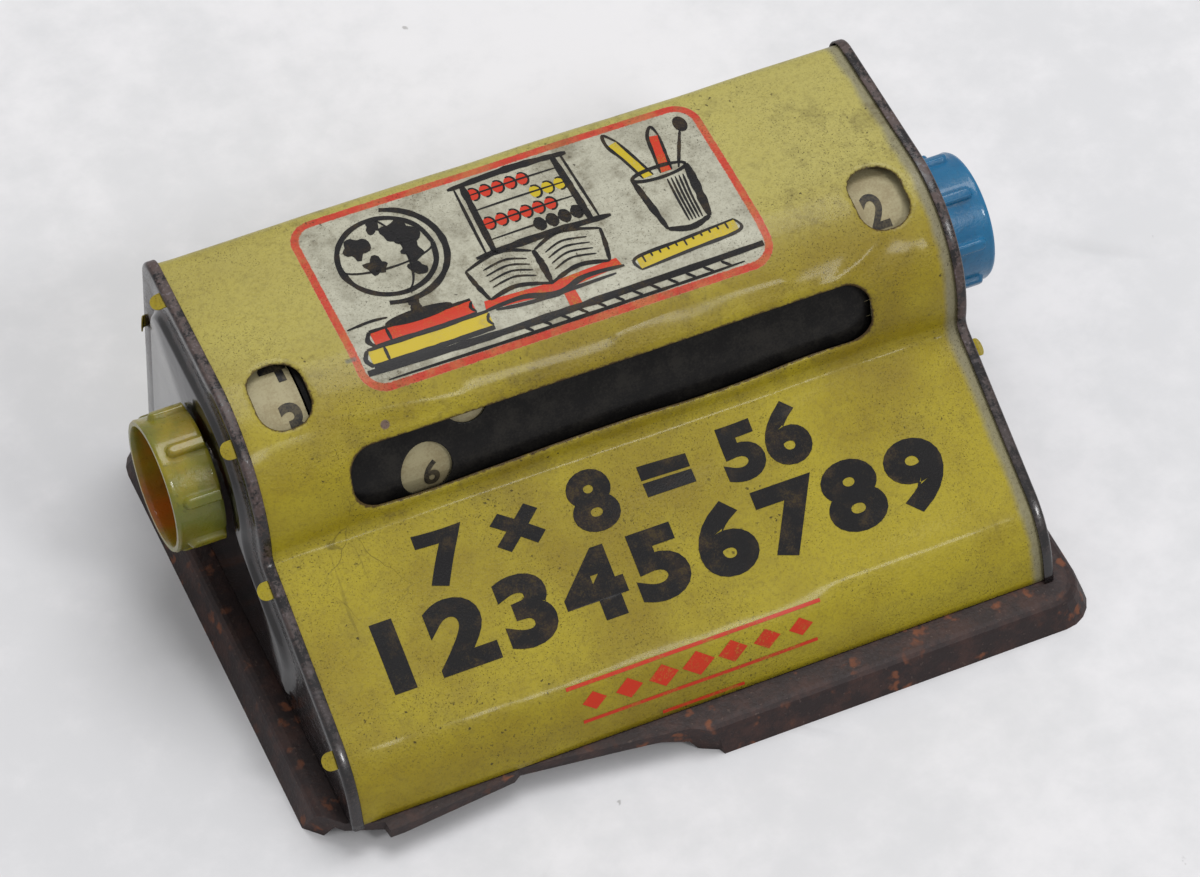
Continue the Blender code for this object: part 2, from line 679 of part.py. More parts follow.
def make_sleeve():
    """Make the pierced sleeve and the discs that carry it."""
    black = ((0.02, 0.02, 0.022), 0.3)
    tube = [
        (SLEEVE_RADIUS, SLEEVE_RIGHT), (SLEEVE_RADIUS, -SLEEVE_LEFT),
        (SLEEVE_BORE, -SLEEVE_LEFT), (SLEEVE_BORE, SLEEVE_RIGHT),
    ]
    part = turned_on_axis("outer_sleeve", tube, black)
    holes = bmesh.new()
    middle = (SLEEVE_RADIUS + SLEEVE_BORE) / 2
    depth = 4 * DRUM_SHEET
    for number in range(1, STEPS_PER_TURN + 1):
        place = FIRST_HOLE + (number - 1) * HOLE_PITCH
        angle = HOLE_SHOWN_ANGLE - (number - HOLE_SHOWN) * STEP_ANGLE
        matrix = radial_frame(place, angle, middle) @ Matrix.Diagonal((HOLE_WIDTH, HOLE_HEIGHT, depth, 1.0))
        add_rod(holes, 0.5, 1.0, matrix, HOLE_STEPS)
    apply_tool(part, add_tool("sleeve_holes", holes), "DIFFERENCE")

    radius = SLEEVE_BORE - GAP
    left, right = SLEEVE_LEFT - DISC_RECESS, SLEEVE_RIGHT - DISC_RECESS
    make_disc("sleeve_left_disc", -1, radius, left, DRUM_LEFT, LEFT_RING_INNER + GAP, AXLE_BORE, black)
    make_disc("sleeve_right_disc", 1, radius, right, DRUM_RIGHT, right + DISC_HUB, SHAFT_RADIUS + GAP, black)


def make_knob(name, side, bore, colour):
    """Make a ribbed knob: an open cup with a hub inside."""
    inside = KNOB_RADIUS - KNOB_WALL
    hub = bore + KNOB_HUB_WALL
    floor = KNOB_BACK + KNOB_FLOOR
    lip, lip_start = KNOB_RADIUS + KNOB_LIP, KNOB_FACE - KNOB_LIP_WIDTH
    cut = KNOB_CHAMFER
    profile = [
        (hub, HUB_FACE), (hub, floor), (inside, floor), (inside, KNOB_FACE - cut), (inside + cut, KNOB_FACE),
        (lip - cut, KNOB_FACE), (lip, KNOB_FACE - cut), (lip, lip_start + cut), (KNOB_RADIUS, lip_start),
        (KNOB_RADIUS, KNOB_BACK + cut), (KNOB_RADIUS - cut, KNOB_BACK), (bore, KNOB_BACK), (bore, HUB_FACE),
    ]
    part = turned_on_axis(name, mirrored(profile, side), (colour, 0.25))

    ribs = bmesh.new()
    sunk = KNOB_WALL / 2
    height = RIB_PROUD + sunk
    for number in range(RIB_COUNT):
        angle = RIB_PHASE + number * 360.0 / RIB_COUNT
        place = side * (KNOB_BACK + RIB_LENGTH / 2 + GAP)
        frame = radial_frame(place, angle, KNOB_RADIUS + RIB_PROUD - height / 2)
        rounded_bar(ribs, (RIB_LENGTH, RIB_WIDTH, height), RIB_ROUND, frame, 3)
    apply_tool(part, add_tool(name + "_ribs", ribs), "UNION")


def shade(angle=30.0):
    """Shade every part smooth apart from its sharp edges."""
    for part in collection(MODEL_NAME).objects:
        part.data.shade_smooth()
        part.data.set_sharp_from_angle(angle=math.radians(angle))


def build():
    """Build the whole calculator."""
    clear_scene()
    make_base()
    make_cover()
    make_end_plate("left_end_plate", -1)
    make_end_plate("right_end_plate", 1)
    make_rivets()
    make_bush("left_bush", -1, AXLE_BORE)
    make_bush("right_bush", 1, SHAFT_RADIUS + GAP)
    make_shafts()
    make_number_ring("left_number_ring", -1, LEFT_RING_INNER, LEFT_RING_INNER + 2 * GAP, AXLE_BORE)
    make_number_ring("right_number_ring", 1, SLEEVE_RIGHT + GAP, RING_END - DISC_HUB, SHAFT_RADIUS + GAP)
    make_drum()
    make_sleeve()
    make_knob("left_knob", -1, AXLE_BORE, (0.50, 0.46, 0.06))
    make_knob("right_knob", 1, SHAFT_RADIUS + GAP, (0.04, 0.24, 0.50))
    shade()


build()
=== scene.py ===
"""Drum multiplication calculator: a yellow tin cover between black pressed end plates on a moulded base.

The sheet parts are stamped flat, with their openings, and then bent or rolled, as the real ones are. The
printed numbers and drawings are thin ink pieces, laid out on the flat sheet, that follow it round its bends.
Metres, +Z up, +X towards the right knob, -Y towards the user.
"""

import json
import logging
import math
from dataclasses import dataclass, field
from enum import Enum
from typing import Callable, Iterable, Sequence

import bmesh
import bpy
from mathutils import Matrix, Vector, noise

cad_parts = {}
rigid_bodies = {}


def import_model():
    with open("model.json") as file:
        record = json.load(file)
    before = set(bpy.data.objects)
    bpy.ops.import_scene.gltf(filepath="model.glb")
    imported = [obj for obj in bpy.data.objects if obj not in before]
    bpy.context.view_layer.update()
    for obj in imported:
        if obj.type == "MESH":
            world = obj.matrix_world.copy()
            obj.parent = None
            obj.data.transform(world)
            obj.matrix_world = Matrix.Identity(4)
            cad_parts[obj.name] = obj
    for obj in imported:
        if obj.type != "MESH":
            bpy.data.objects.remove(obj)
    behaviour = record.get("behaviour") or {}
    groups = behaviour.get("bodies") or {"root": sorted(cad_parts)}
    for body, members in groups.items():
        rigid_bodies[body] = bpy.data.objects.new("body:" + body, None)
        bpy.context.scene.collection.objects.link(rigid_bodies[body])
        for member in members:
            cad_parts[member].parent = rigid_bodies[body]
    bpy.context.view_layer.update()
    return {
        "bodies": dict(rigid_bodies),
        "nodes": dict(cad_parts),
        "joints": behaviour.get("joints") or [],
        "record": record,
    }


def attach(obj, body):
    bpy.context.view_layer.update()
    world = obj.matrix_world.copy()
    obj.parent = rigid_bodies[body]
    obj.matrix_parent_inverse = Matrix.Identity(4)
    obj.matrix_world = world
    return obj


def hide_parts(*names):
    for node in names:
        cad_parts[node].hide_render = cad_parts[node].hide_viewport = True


LOG = logging.getLogger("drum_calculator")
Colour = tuple[float, float, float]
Flat = tuple[float, float]


class Side(Enum):
    """An end of the calculator, as the sign of its X."""

    LEFT = -1
    RIGHT = 1


class Ink(Enum):
    """The colours printed on the tin."""

    BLACK = "black"
    RED = "red"
    YELLOW = "yellow"


def tint(red: int, green: int, blue: int) -> Colour:
    """Turn a colour from 0 to 255, as a screen shows it, into linear light.

    Args:
        red, green, blue: The screen values.

    Returns:
        The linear colour.
    """
    return tuple(((part / 255.0 + 0.055) / 1.055) ** 2.4 for part in (red, green, blue))


class Value:
    """A shader socket that can stand in Python expressions."""

    def __init__(self, paint: "Paint", socket: bpy.types.NodeSocket) -> None:
        """Wrap a socket of the material that paint builds."""
        self.paint = paint
        self.socket = socket

    def __add__(self, other: "Value | float") -> "Value":
        """Add a value or a number."""
        return self.paint.maths("ADD", self, other)

    def __sub__(self, other: "Value | float") -> "Value":
        """Subtract a value or a number."""
        return self.paint.maths("SUBTRACT", self, other)

    def __mul__(self, other: "Value | float") -> "Value":
        """Multiply by a value or a number."""
        return self.paint.maths("MULTIPLY", self, other)

    def __rsub__(self, other: float) -> "Value":
        """Subtract this value from a number."""
        return self.paint.maths("SUBTRACT", other, self)

    def __pow__(self, other: float) -> "Value":
        """Raise to a power."""
        return self.paint.maths("POWER", self, other)

    def __abs__(self) -> "Value":
        """Return the size of the value."""
        return self.paint.maths("ABSOLUTE", self, 0.0)

    __radd__ = __add__
    __rmul__ = __mul__

    def most(self, other: "Value | float") -> "Value":
        """Return the larger of two values."""
        return self.paint.maths("MAXIMUM", self, other)

    def least(self, other: "Value | float") -> "Value":
        """Return the smaller of two values."""
        return self.paint.maths("MINIMUM", self, other)

    def rise(self, low: float, high: float) -> "Value":
        """Return 0 below low and 1 above high, or the reverse where high is the smaller, smooth between.

        Args:
            low: Where the step starts.
            high: Where it ends.

        Returns:
            The share from 0 to 1.
        """
        sockets = {"Value": self, "From Min": low, "From Max": high}
        return self.paint.node("ShaderNodeMapRange", {"interpolation_type": "SMOOTHSTEP"}, sockets)


class Paint:
    """Builds one procedural material."""

    def __init__(self, name: str) -> None:
        """Start a material with a Principled shader.

        Args:
            name: The material's name.
        """
        self.material = bpy.data.materials.new(name)
        self.material.use_nodes = True
        self.tree = self.material.node_tree
        self.shader = self.tree.nodes["Principled BSDF"]

    def node(self, kind: str, settings: dict, sockets: dict, output: str | int = 0) -> Value:
        """Add a node.

        Args:
            kind: The node's type.
            settings: Its own settings, set first; "stops" fills a ramp.
            sockets: Values or links, by socket name or identifier.
            output: The output that is wanted.

        Returns:
            The wanted output.
        """
        made = self.tree.nodes.new(kind)
        for key, value in settings.items():
            if key == "stops":
                self.fill_ramp(made.color_ramp, value)
            else:
                setattr(made, key, value)
        by_identifier = {socket.identifier: socket for socket in made.inputs}
        for key, value in sockets.items():
            socket = by_identifier.get(key) or made.inputs[key]
            if isinstance(value, Value):
                self.tree.links.new(value.socket, socket)
            else:
                socket.default_value = value
        by_identifier = {socket.identifier: socket for socket in made.outputs}
        return Value(self, by_identifier.get(output) or made.outputs[output])

    @staticmethod
    def fill_ramp(ramp: bpy.types.ColorRamp, stops: Sequence[tuple[float, Colour]]) -> None:
        """Set a ramp's stops.

        Args:
            ramp: The ramp.
            stops: Places and linear colours.
        """
        while len(ramp.elements) < len(stops):
            ramp.elements.new(1.0)
        for element, (place, colour) in zip(ramp.elements, stops):
            element.position = place
            element.color = (*colour, 1.0)

    def maths(self, operation: str, left: "Value | float", right: "Value | float") -> Value:
        """Add a Math node.

        Args:
            operation: Its operation.
            left: Its first value.
            right: Its second value.

        Returns:
            The result.
        """
        return self.node("ShaderNodeMath", {"operation": operation}, {"Value": left, "Value_001": right})

    def place(self) -> Value:
        """Return Object coordinates, in metres."""
        return self.node("ShaderNodeTexCoord", {}, {}, "Object")

    def sheet(self) -> tuple[Value, Value]:
        """Return the place across and along a flat sheet, in metres, from the piece's UV map."""
        flat = self.node("ShaderNodeTexCoord", {}, {}, "UV")
        return self.split(flat)[:2]

    def split(self, vector: Value) -> tuple[Value, Value, Value]:
        """Return the three parts of a vector."""
        part = self.node("ShaderNodeSeparateXYZ", {}, {"Vector": vector})
        return tuple(Value(self, socket) for socket in part.socket.node.outputs)

    def stretch(self, vector: Value, scale: tuple[float, float, float], turn: float = 0.0) -> Value:
        """Scale coordinates unevenly, turned about Z, for a grain that runs one way."""
        sockets = {"Vector": vector, "Scale": scale, "Rotation": (0.0, 0.0, turn)}
        return self.node("ShaderNodeMapping", {}, sockets)

    def warped(self, vector: Value, per_metre: float, reach: float) -> Value:
        """Return coordinates that noise pushes about.

        Args:
            vector: The coordinates.
            per_metre: Waves per metre.
            reach: How far the noise pushes them.

        Returns:
            The coordinates.
        """
        sockets = {"Vector": vector, "Scale": per_metre, "Detail": 2.0}
        push = self.node("ShaderNodeTexNoise", {}, sockets, "Color")
        sockets = {"Vector": push, "Vector_001": (reach, reach, reach), "Vector_002": vector}
        return self.node("ShaderNodeVectorMath", {"operation": "MULTIPLY_ADD"}, sockets)

    def gap_to(self, place: tuple[Value, Value], middle: Flat, half: Flat, corner: float) -> Value:
        """Return the distance to a rectangle with round corners, negative inside it.

        Args:
            place: The two coordinates.
            middle: The rectangle's middle.
            half: Half its width and height.
            corner: The corners' radius.

        Returns:
            The distance, in metres.
        """
        reach = [abs(value - centre) - (size - corner) for value, centre, size in zip(place, middle, half)]
        outside = (reach[0].most(0.0) ** 2.0 + reach[1].most(0.0) ** 2.0) ** 0.5
        return outside + reach[0].most(reach[1]).least(0.0) - corner

    def cloud(self, vector: Value, per_metre: float, detail: float = 3.0, rough: float = 0.5) -> Value:
        """Return noise from 0 to 1.

        Args:
            vector: The coordinates.
            per_metre: Features per metre.
            detail: Octaves.
            rough: How much the fine octaves count.

        Returns:
            The noise.
        """
        sockets = {"Vector": vector, "Scale": per_metre, "Detail": detail, "Roughness": rough}
        return self.node("ShaderNodeTexNoise", {}, sockets)

    def cells(self, vector: Value, per_metre: float) -> Value:
        """Return the distance to the nearest of scattered points, in cell sizes."""
        return self.node("ShaderNodeTexVoronoi", {}, {"Vector": vector, "Scale": per_metre})

    def edges(self, vector: Value, per_metre: float) -> Value:
        """Return the distance to the lines between scattered cells, in cell sizes."""
        sockets = {"Vector": vector, "Scale": per_metre}
        return self.node("ShaderNodeTexVoronoi", {"feature": "DISTANCE_TO_EDGE"}, sockets)

    def mix(self, share: Value | float, first: Value | Colour, second: Value | Colour) -> Value:
        """Blend two colours.

        Args:
            share: How much of the second shows.
            first: The colour at 0.
            second: The colour at 1.

        Returns:
            The blended colour.
        """
        sockets = {"Factor_Float": share}
        for key, colour in (("A_Color", first), ("B_Color", second)):
            sockets[key] = colour if isinstance(colour, Value) else (*colour, 1.0)
        return self.node("ShaderNodeMix", {"data_type": "RGBA"}, sockets, "Result_Color")

    def bump(self, height: Value, depth: float, under: Value | None = None) -> Value:
        """Return a normal bumped by a height.

        Args:
            height: The height, from 0 to 1.
            depth: What 1 means, in metres.
            under: A normal that is bumped already.

        Returns:
            The normal.
        """
        sockets = {"Height": height, "Distance": depth}
        if under is not None:
            sockets["Normal"] = under
        return self.node("ShaderNodeBump", {}, sockets)

    def dress(self, **sockets: "Value | float | Colour") -> bpy.types.Material:
        """Set or link the Principled shader's sockets.

        Args:
            sockets: Values by socket name, with _ for a space.

        Returns:
            The material.
        """
        for key, value in sockets.items():
            socket = self.shader.inputs[key.replace("_", " ")]
            if isinstance(value, Value):
                self.tree.links.new(value.socket, socket)
            elif isinstance(value, tuple):
                socket.default_value = (*value, 1.0)
            else:
                socket.default_value = value
        return self.material


@dataclass(frozen=True)
class PrintedTin:
    """The cover's yellow print, with the picture's pale ground and its red border, all of it worn."""

    cover: "Cover"
    yellow: Colour = tint(160, 145, 30)
    faded: Colour = tint(168, 159, 88)
    deep: Colour = tint(132, 114, 20)
    ground: Colour = tint(174, 172, 154)
    stained: Colour = tint(118, 114, 98)
    border: Colour = tint(182, 50, 32)
    grime: Colour = tint(74, 60, 22)
    speck: Colour = tint(40, 33, 20)
    rust: Colour = tint(52, 33, 20)
    bare: Colour = tint(126, 122, 102)
    purple: Colour = tint(92, 70, 84)
    slate: Colour = tint(84, 88, 86)
    picture_half: Flat = (0.0523, 0.0259)
    picture_corner: float = 0.0065
    border_width: float = 0.0019
    opening_corner: float = 0.0060
    margin_start: float = 0.0839
    scratched: Flat = (-0.0680, 0.0510)

    def printed(self, paint: Paint, place: Value, sheet: tuple[Value, Value], patch: Value) -> Value:
        """Return the print's colour before dirt and rust.

        Args:
            paint: The material.
            place: Object coordinates.
            sheet: The place across and along the flat sheet.
            patch: Noise in patches of a few millimetres.

        Returns:
            The colour.
        """
        across, along = sheet
        broad = paint.cloud(place, 22.0, 4.0, 0.6)
        yellow = paint.mix(broad.rise(0.34, 0.66), self.deep, self.yellow)
        pale = along.rise(0.021, -0.008) * (across.rise(-0.12, 0.02) * 0.35 + 0.55)
        yellow = paint.mix(pale + (patch - 0.5) * 0.3, yellow, self.faded)
        ragged = (paint.cloud(place, 1900.0, 2.0, 0.6) - 0.5) * 0.0005
        near = (across + ragged, along + ragged)
        edge = paint.gap_to(near, self.cover.picture_middle, self.picture_half, self.picture_corner)
        ground = edge.rise(0.0001, -0.0001)
        border = ground * (edge + self.border_width).rise(-0.00015, 0.00015)
        paper = paint.mix((patch * 0.7 + broad * 0.3).rise(0.42, 0.62) * 0.5, self.ground, self.stained)
        red = paint.mix(patch.rise(0.42, 0.66) * 0.25, self.border, self.faded)
        colour = paint.mix(border, paint.mix(ground, yellow, paper), red)
        wave = (paint.cloud(place, 130.0, 4.0, 0.65) - 0.5) * 0.0024
        margin = (across + wave).rise(self.margin_start, self.margin_start + 0.0022)
        return paint.mix(margin * 0.85, colour, self.bare)

    def marks(self, paint: Paint, colour: Value, sheet: tuple[Value, Value]) -> Value:
        """Return a colour with the two stray marks over it.

        Args:
            paint: The material.
            colour: The colour below.
            sheet: The place across and along the flat sheet.

        Returns:
            The colour.
        """
        dot = paint.gap_to(sheet, (-0.0552, 0.0216), (0.0011, 0.0011), 0.0011).rise(0.0002, -0.0002)
        smear = paint.gap_to(sheet, (-0.0574, 0.0048), (0.0012, 0.0004), 0.0003).rise(0.0005, -0.0002)
        return paint.mix(smear * 0.7, paint.mix(dot * 0.8, colour, self.purple), self.slate)

    def scratches(self, paint: Paint, place: Value, sheet: tuple[Value, Value]) -> Value:
        """Return the mask of the fine scratches, thickest left of the slot.

        Args:
            paint: The material.
            place: Object coordinates.
            sheet: The place across and along the flat sheet.

        Returns:
            The mask, from 0 to 1.
        """
        warped = paint.warped(paint.warped(place, 26.0, 0.030), 110.0, 0.006)
        lines = paint.edges(warped, 58.0).rise(0.009, 0.003)
        slanted = paint.stretch(paint.warped(place, 40.0, 0.004), (340.0, 16.0, 16.0), 0.7)
        streaks = paint.cloud(slanted, 1.0, 2.0, 0.5).rise(0.70, 0.74)
        near = paint.gap_to(sheet, self.scratched, (0.004, 0.008), 0.004).rise(0.013, 0.002)
        sparse = paint.cloud(place, 34.0, 2.0, 0.5)
        fading = near * 0.6 + sparse.rise(0.52, 0.66) * 0.5
        return lines * near * sparse.rise(0.42, 0.54) * 0.7 + streaks * fading

    def material(self) -> bpy.types.Material:
        """Mix the material.

        Returns:
            The material.
        """
        paint = Paint("printed_tin")
        place = paint.place()
        sheet = paint.sheet()
        across, along = sheet
        patch = paint.cloud(place, 140.0, 5.0, 0.65)
        grain = paint.cloud(place, 1500.0, 2.0, 0.6)
        colour = self.marks(paint, self.printed(paint, place, sheet, patch), sheet)

        cover = self.cover
        half = [side / 2 for side in cover.slot_size]
        slot = paint.gap_to(sheet, (0.0, cover.slot_along), half, self.opening_corner)
        half = [side / 2 for side in cover.window_size]
        middle = (cover.window_place, cover.window_along)
        window = paint.gap_to((abs(across), along), middle, half, self.opening_corner)
        opening = slot.least(window) + (paint.cloud(place, 700.0, 4.0, 0.7) - 0.5) * 0.0016
        rust = opening.rise(0.0006, 0.0)

        mottle = paint.cloud(place, 430.0, 5.0, 0.72).rise(0.46, 0.70)
        mottle = mottle * paint.cloud(place, 30.0, 3.0, 0.6).rise(0.30, 0.62)
        stain = (patch * 0.5 + paint.cloud(place, 60.0, 4.0, 0.6) * 0.5).rise(0.52, 0.64)
        below = slot.rise(0.010, 0.001) * patch.rise(0.44, 0.62)
        fine = (paint.cloud(place, 850.0, 4.0, 0.75) * 0.6 + grain * 0.4).rise(0.47, 0.62)
        upper = along.rise(0.040, 0.010) * 0.14 + 0.12
        dirt = mottle * (upper + 0.02) + stain * upper + below * 0.22 + fine * 0.20
        colour = paint.mix(dirt.least(0.7), colour, self.grime)
        cluster = paint.cloud(place, 52.0, 3.0, 0.6).rise(0.34, 0.62)
        pepper = paint.cloud(place, 2300.0, 2.0, 0.8).rise(0.60, 0.67) * (cluster * 0.75 + 0.25)
        warped = paint.warped(place, 1500.0, 0.0012)
        spots = paint.cells(warped, 400.0).rise(0.16, 0.09) * paint.cloud(place, 60.0, 3.0).rise(0.52, 0.64)
        scratch = self.scratches(paint, place, sheet)
        wear = (pepper * 0.75).most(spots * 0.8).most(scratch * 0.6)
        colour = paint.mix(wear, colour, self.speck)
        colour = paint.mix(rust * 0.9, colour, self.rust)

        rough = 0.30 + patch * 0.16 + wear * 0.3 + rust * 0.3 + grain * 0.1
        wavy = paint.bump(paint.cloud(place, 45.0, 2.0, 0.4), 0.0007)
        normal = paint.bump(grain * 0.7 + patch * 0.2 + fine * 0.1 - wear * 0.3, 0.00015, wavy)
        return paint.dress(
            Base_Color=colour, Roughness=rough, Normal=normal, Specular_IOR_Level=0.26, Coat_Weight=0.10,
            Coat_Roughness=0.12,
        )


@dataclass(frozen=True)
class PrintInk:
    """Ink on the tin, rubbed through in places."""

    ink: Ink
    colour: Colour
    rubbed: Colour
    stain: Colour
    rubbing: float = 0.35

    def material(self) -> bpy.types.Material:
        """Mix the material.

        Returns:
            The material.
        """
        paint = Paint("ink_" + self.ink.value)
        place = paint.place()
        patch = paint.cloud(place, 230.0, 5.0, 0.7)
        dots = paint.cloud(place, 2300.0, 2.0, 0.7)
        broad = paint.cloud(place, 48.0, 3.0, 0.6)
        worn = (patch * 0.5 + dots * 0.5).rise(0.50, 0.62) * broad.rise(0.36, 0.62)
        colour = paint.mix((patch * 0.6 + broad * 0.4).rise(0.48, 0.64) * 0.5, self.colour, self.stain)
        colour = paint.mix(worn * self.rubbing, colour, self.rubbed)
        wavy = paint.bump(paint.cloud(place, 45.0, 2.0, 0.4), 0.0007)
        normal = paint.bump(dots, 0.00006, wavy)
        return paint.dress(
            Base_Color=colour, Roughness=0.36 + worn * 0.3, Normal=normal, Specular_IOR_Level=0.14,
            Coat_Weight=0.04, Coat_Roughness=0.14,
        )


@dataclass(frozen=True)
class Lacquer:
    """Glossy black lacquer on pressed tin, worn brown along its rim, with pale chips that are partly painted
    glints.
    """

    name: str
    black: Colour = tint(18, 15, 17)
    worn: Colour = tint(76, 60, 56)
    bright: Colour = tint(112, 104, 110)
    rim_to: float = 0.0905
    gloss: float = 0.13

    def material(self) -> bpy.types.Material:
        """Mix the material.

        Returns:
            The material.
        """
        paint = Paint(self.name)
        place = paint.place()
        across = abs(paint.split(place)[0])
        rim = across.rise(self.rim_to + 0.0006, self.rim_to - 0.0010)
        handled = paint.split(place)[2].rise(0.022, 0.052) * 0.75 + 0.25
        patch = paint.cloud(place, 190.0, 5.0, 0.7)
        fine = paint.cloud(place, 1300.0, 3.0, 0.7)
        wear = rim * handled * (patch * 0.65 + fine * 0.35).rise(0.44, 0.56)
        # Pale specks painted lighter: partly real chips of worn lacquer, partly painted glints on the rim.
        chips_and_glints = (fine * 0.6 + patch * 0.4).rise(0.57, 0.63) * (rim * handled * 0.8 + 0.12)
        colour = paint.mix(wear * 0.85, self.black, self.worn)
        colour = paint.mix(chips_and_glints * 0.6, colour, self.bright)
        scuff = paint.cloud(paint.stretch(place, (60.0, 60.0, 900.0), 0.3), 1.0, 3.0, 0.6).rise(0.60, 0.72)
        colour = paint.mix(scuff * 0.12, colour, self.bright)
        wavy = paint.bump(paint.cloud(place, 60.0, 3.0, 0.5), 0.0005)
        normal = paint.bump(fine * 0.6 + patch * rim * 0.4, 0.00006, wavy)
        rough = self.gloss + wear * 0.3 + rim * 0.06 + patch * 0.08 + scuff * 0.1
        coat = (1.0 - rim * handled) * 0.5
        return paint.dress(
            Base_Color=colour, Roughness=rough, Normal=normal, Coat_Weight=coat, Coat_Roughness=0.07
        )


@dataclass(frozen=True)
class Moulding:
    """Dark brown pressed resin with rusty speckles."""

    dark: Colour = tint(40, 30, 30)
    warm: Colour = tint(60, 41, 37)
    rust: Colour = tint(132, 80, 54)
    pale: Colour = tint(116, 100, 92)

    def material(self) -> bpy.types.Material:
        """Mix the material.

        Returns:
            The material.
        """
        paint = Paint("moulded_resin")
        place = paint.place()
        patch = paint.cloud(place, 150.0, 6.0, 0.72)
        fine = paint.cloud(place, 900.0, 3.0, 0.65)
        warped = paint.warped(place, 420.0, 0.0045)
        cluster = paint.cloud(place, 55.0, 3.0, 0.6).rise(0.41, 0.56)
        spots = paint.cells(warped, 190.0).rise(0.34, 0.12) * cluster
        colour = paint.mix(patch.rise(0.42, 0.66), self.dark, self.warm)
        colour = paint.mix(spots * 0.65, colour, self.rust)
        colour = paint.mix(fine.rise(0.62, 0.72) * 0.3, colour, self.pale)
        normal = paint.bump(patch * 0.6 + fine * 0.4, 0.0003)
        rough = 0.40 + fine * 0.25 + spots * 0.2
        return paint.dress(Base_Color=colour, Roughness=rough, Normal=normal, Specular_IOR_Level=0.3)


@dataclass(frozen=True)
class MarbledPlastic:
    """Glossy moulded plastic with a second and a third colour swirled into it."""

    name: str
    main: Colour
    second: Colour
    third: Colour
    dirt: Colour
    swirl: float = 0.5
    glow: float = 0.12
    axis: Flat = (0.0224, 0.0453)
    cup: float = 0.0146

    def material(self) -> bpy.types.Material:
        """Mix the material.

        Returns:
            The material.
        """
        paint = Paint(self.name)
        place = paint.place()
        bent = paint.warped(place, 45.0, 0.020)
        streak = paint.cloud(bent, 44.0, 3.0, 0.55)
        other = paint.cloud(paint.stretch(bent, (1.0, 1.0, 0.6)), 37.0, 3.0, 0.55)
        gap = paint.gap_to(paint.split(place)[1:], self.axis, (self.cup, self.cup), self.cup)
        inside = gap.rise(0.0008, -0.0004) * 0.9 + 0.12
        veins = paint.cloud(paint.stretch(bent, (0.4, 1.0, 1.0)), 260.0, 3.0, 0.6)
        colour = paint.mix(streak.rise(0.40, 0.62) * self.swirl, self.main, self.second)
        colour = paint.mix(other.rise(0.46, 0.62) * inside, colour, self.third)
        colour = paint.mix(veins.rise(0.52, 0.66) * self.swirl * 0.35, colour, self.second)
        grime = paint.cloud(place, 700.0, 4.0, 0.7)
        smudge = paint.cloud(place, 160.0, 4.0, 0.65)
        colour = paint.mix(grime.rise(0.54, 0.72) * 0.35 + smudge.rise(0.5, 0.7) * 0.15, colour, self.dirt)
        normal = paint.bump(grime * 0.5 + smudge * 0.5, 0.00022)
        return paint.dress(
            Base_Color=colour, Roughness=0.20 + grime * 0.2, Normal=normal, Subsurface_Weight=self.glow,
            Subsurface_Scale=0.002, Specular_IOR_Level=0.3, Coat_Weight=0.3, Coat_Roughness=0.05,
        )


@dataclass(frozen=True)
class PlainPaint:
    """An even paint, paper or plastic with light dirt."""

    name: str
    colour: Colour
    dirt: Colour = tint(96, 84, 60)
    rough: float = 0.5
    amount: float = 0.3
    metallic: float = 0.0
    shine: float = 0.5

    def material(self) -> bpy.types.Material:
        """Mix the material.

        Returns:
            The material.
        """
        paint = Paint(self.name)
        place = paint.place()
        patch = paint.cloud(place, 150.0, 5.0, 0.65)
        fine = paint.cloud(place, 1800.0, 2.0, 0.6)
        specks = paint.cloud(place, 2600.0, 2.0, 0.7).rise(0.64, 0.70)
        soiled = (patch * 0.65 + fine * 0.35).rise(0.42, 0.64)
        colour = paint.mix(soiled * self.amount, self.colour, self.dirt)
        colour = paint.mix(specks * self.amount, colour, self.dirt)
        normal = paint.bump(fine, 0.00002)
        return paint.dress(
            Base_Color=colour, Roughness=self.rough + patch * 0.15, Normal=normal, Metallic=self.metallic,
            Specular_IOR_Level=self.shine,
        )


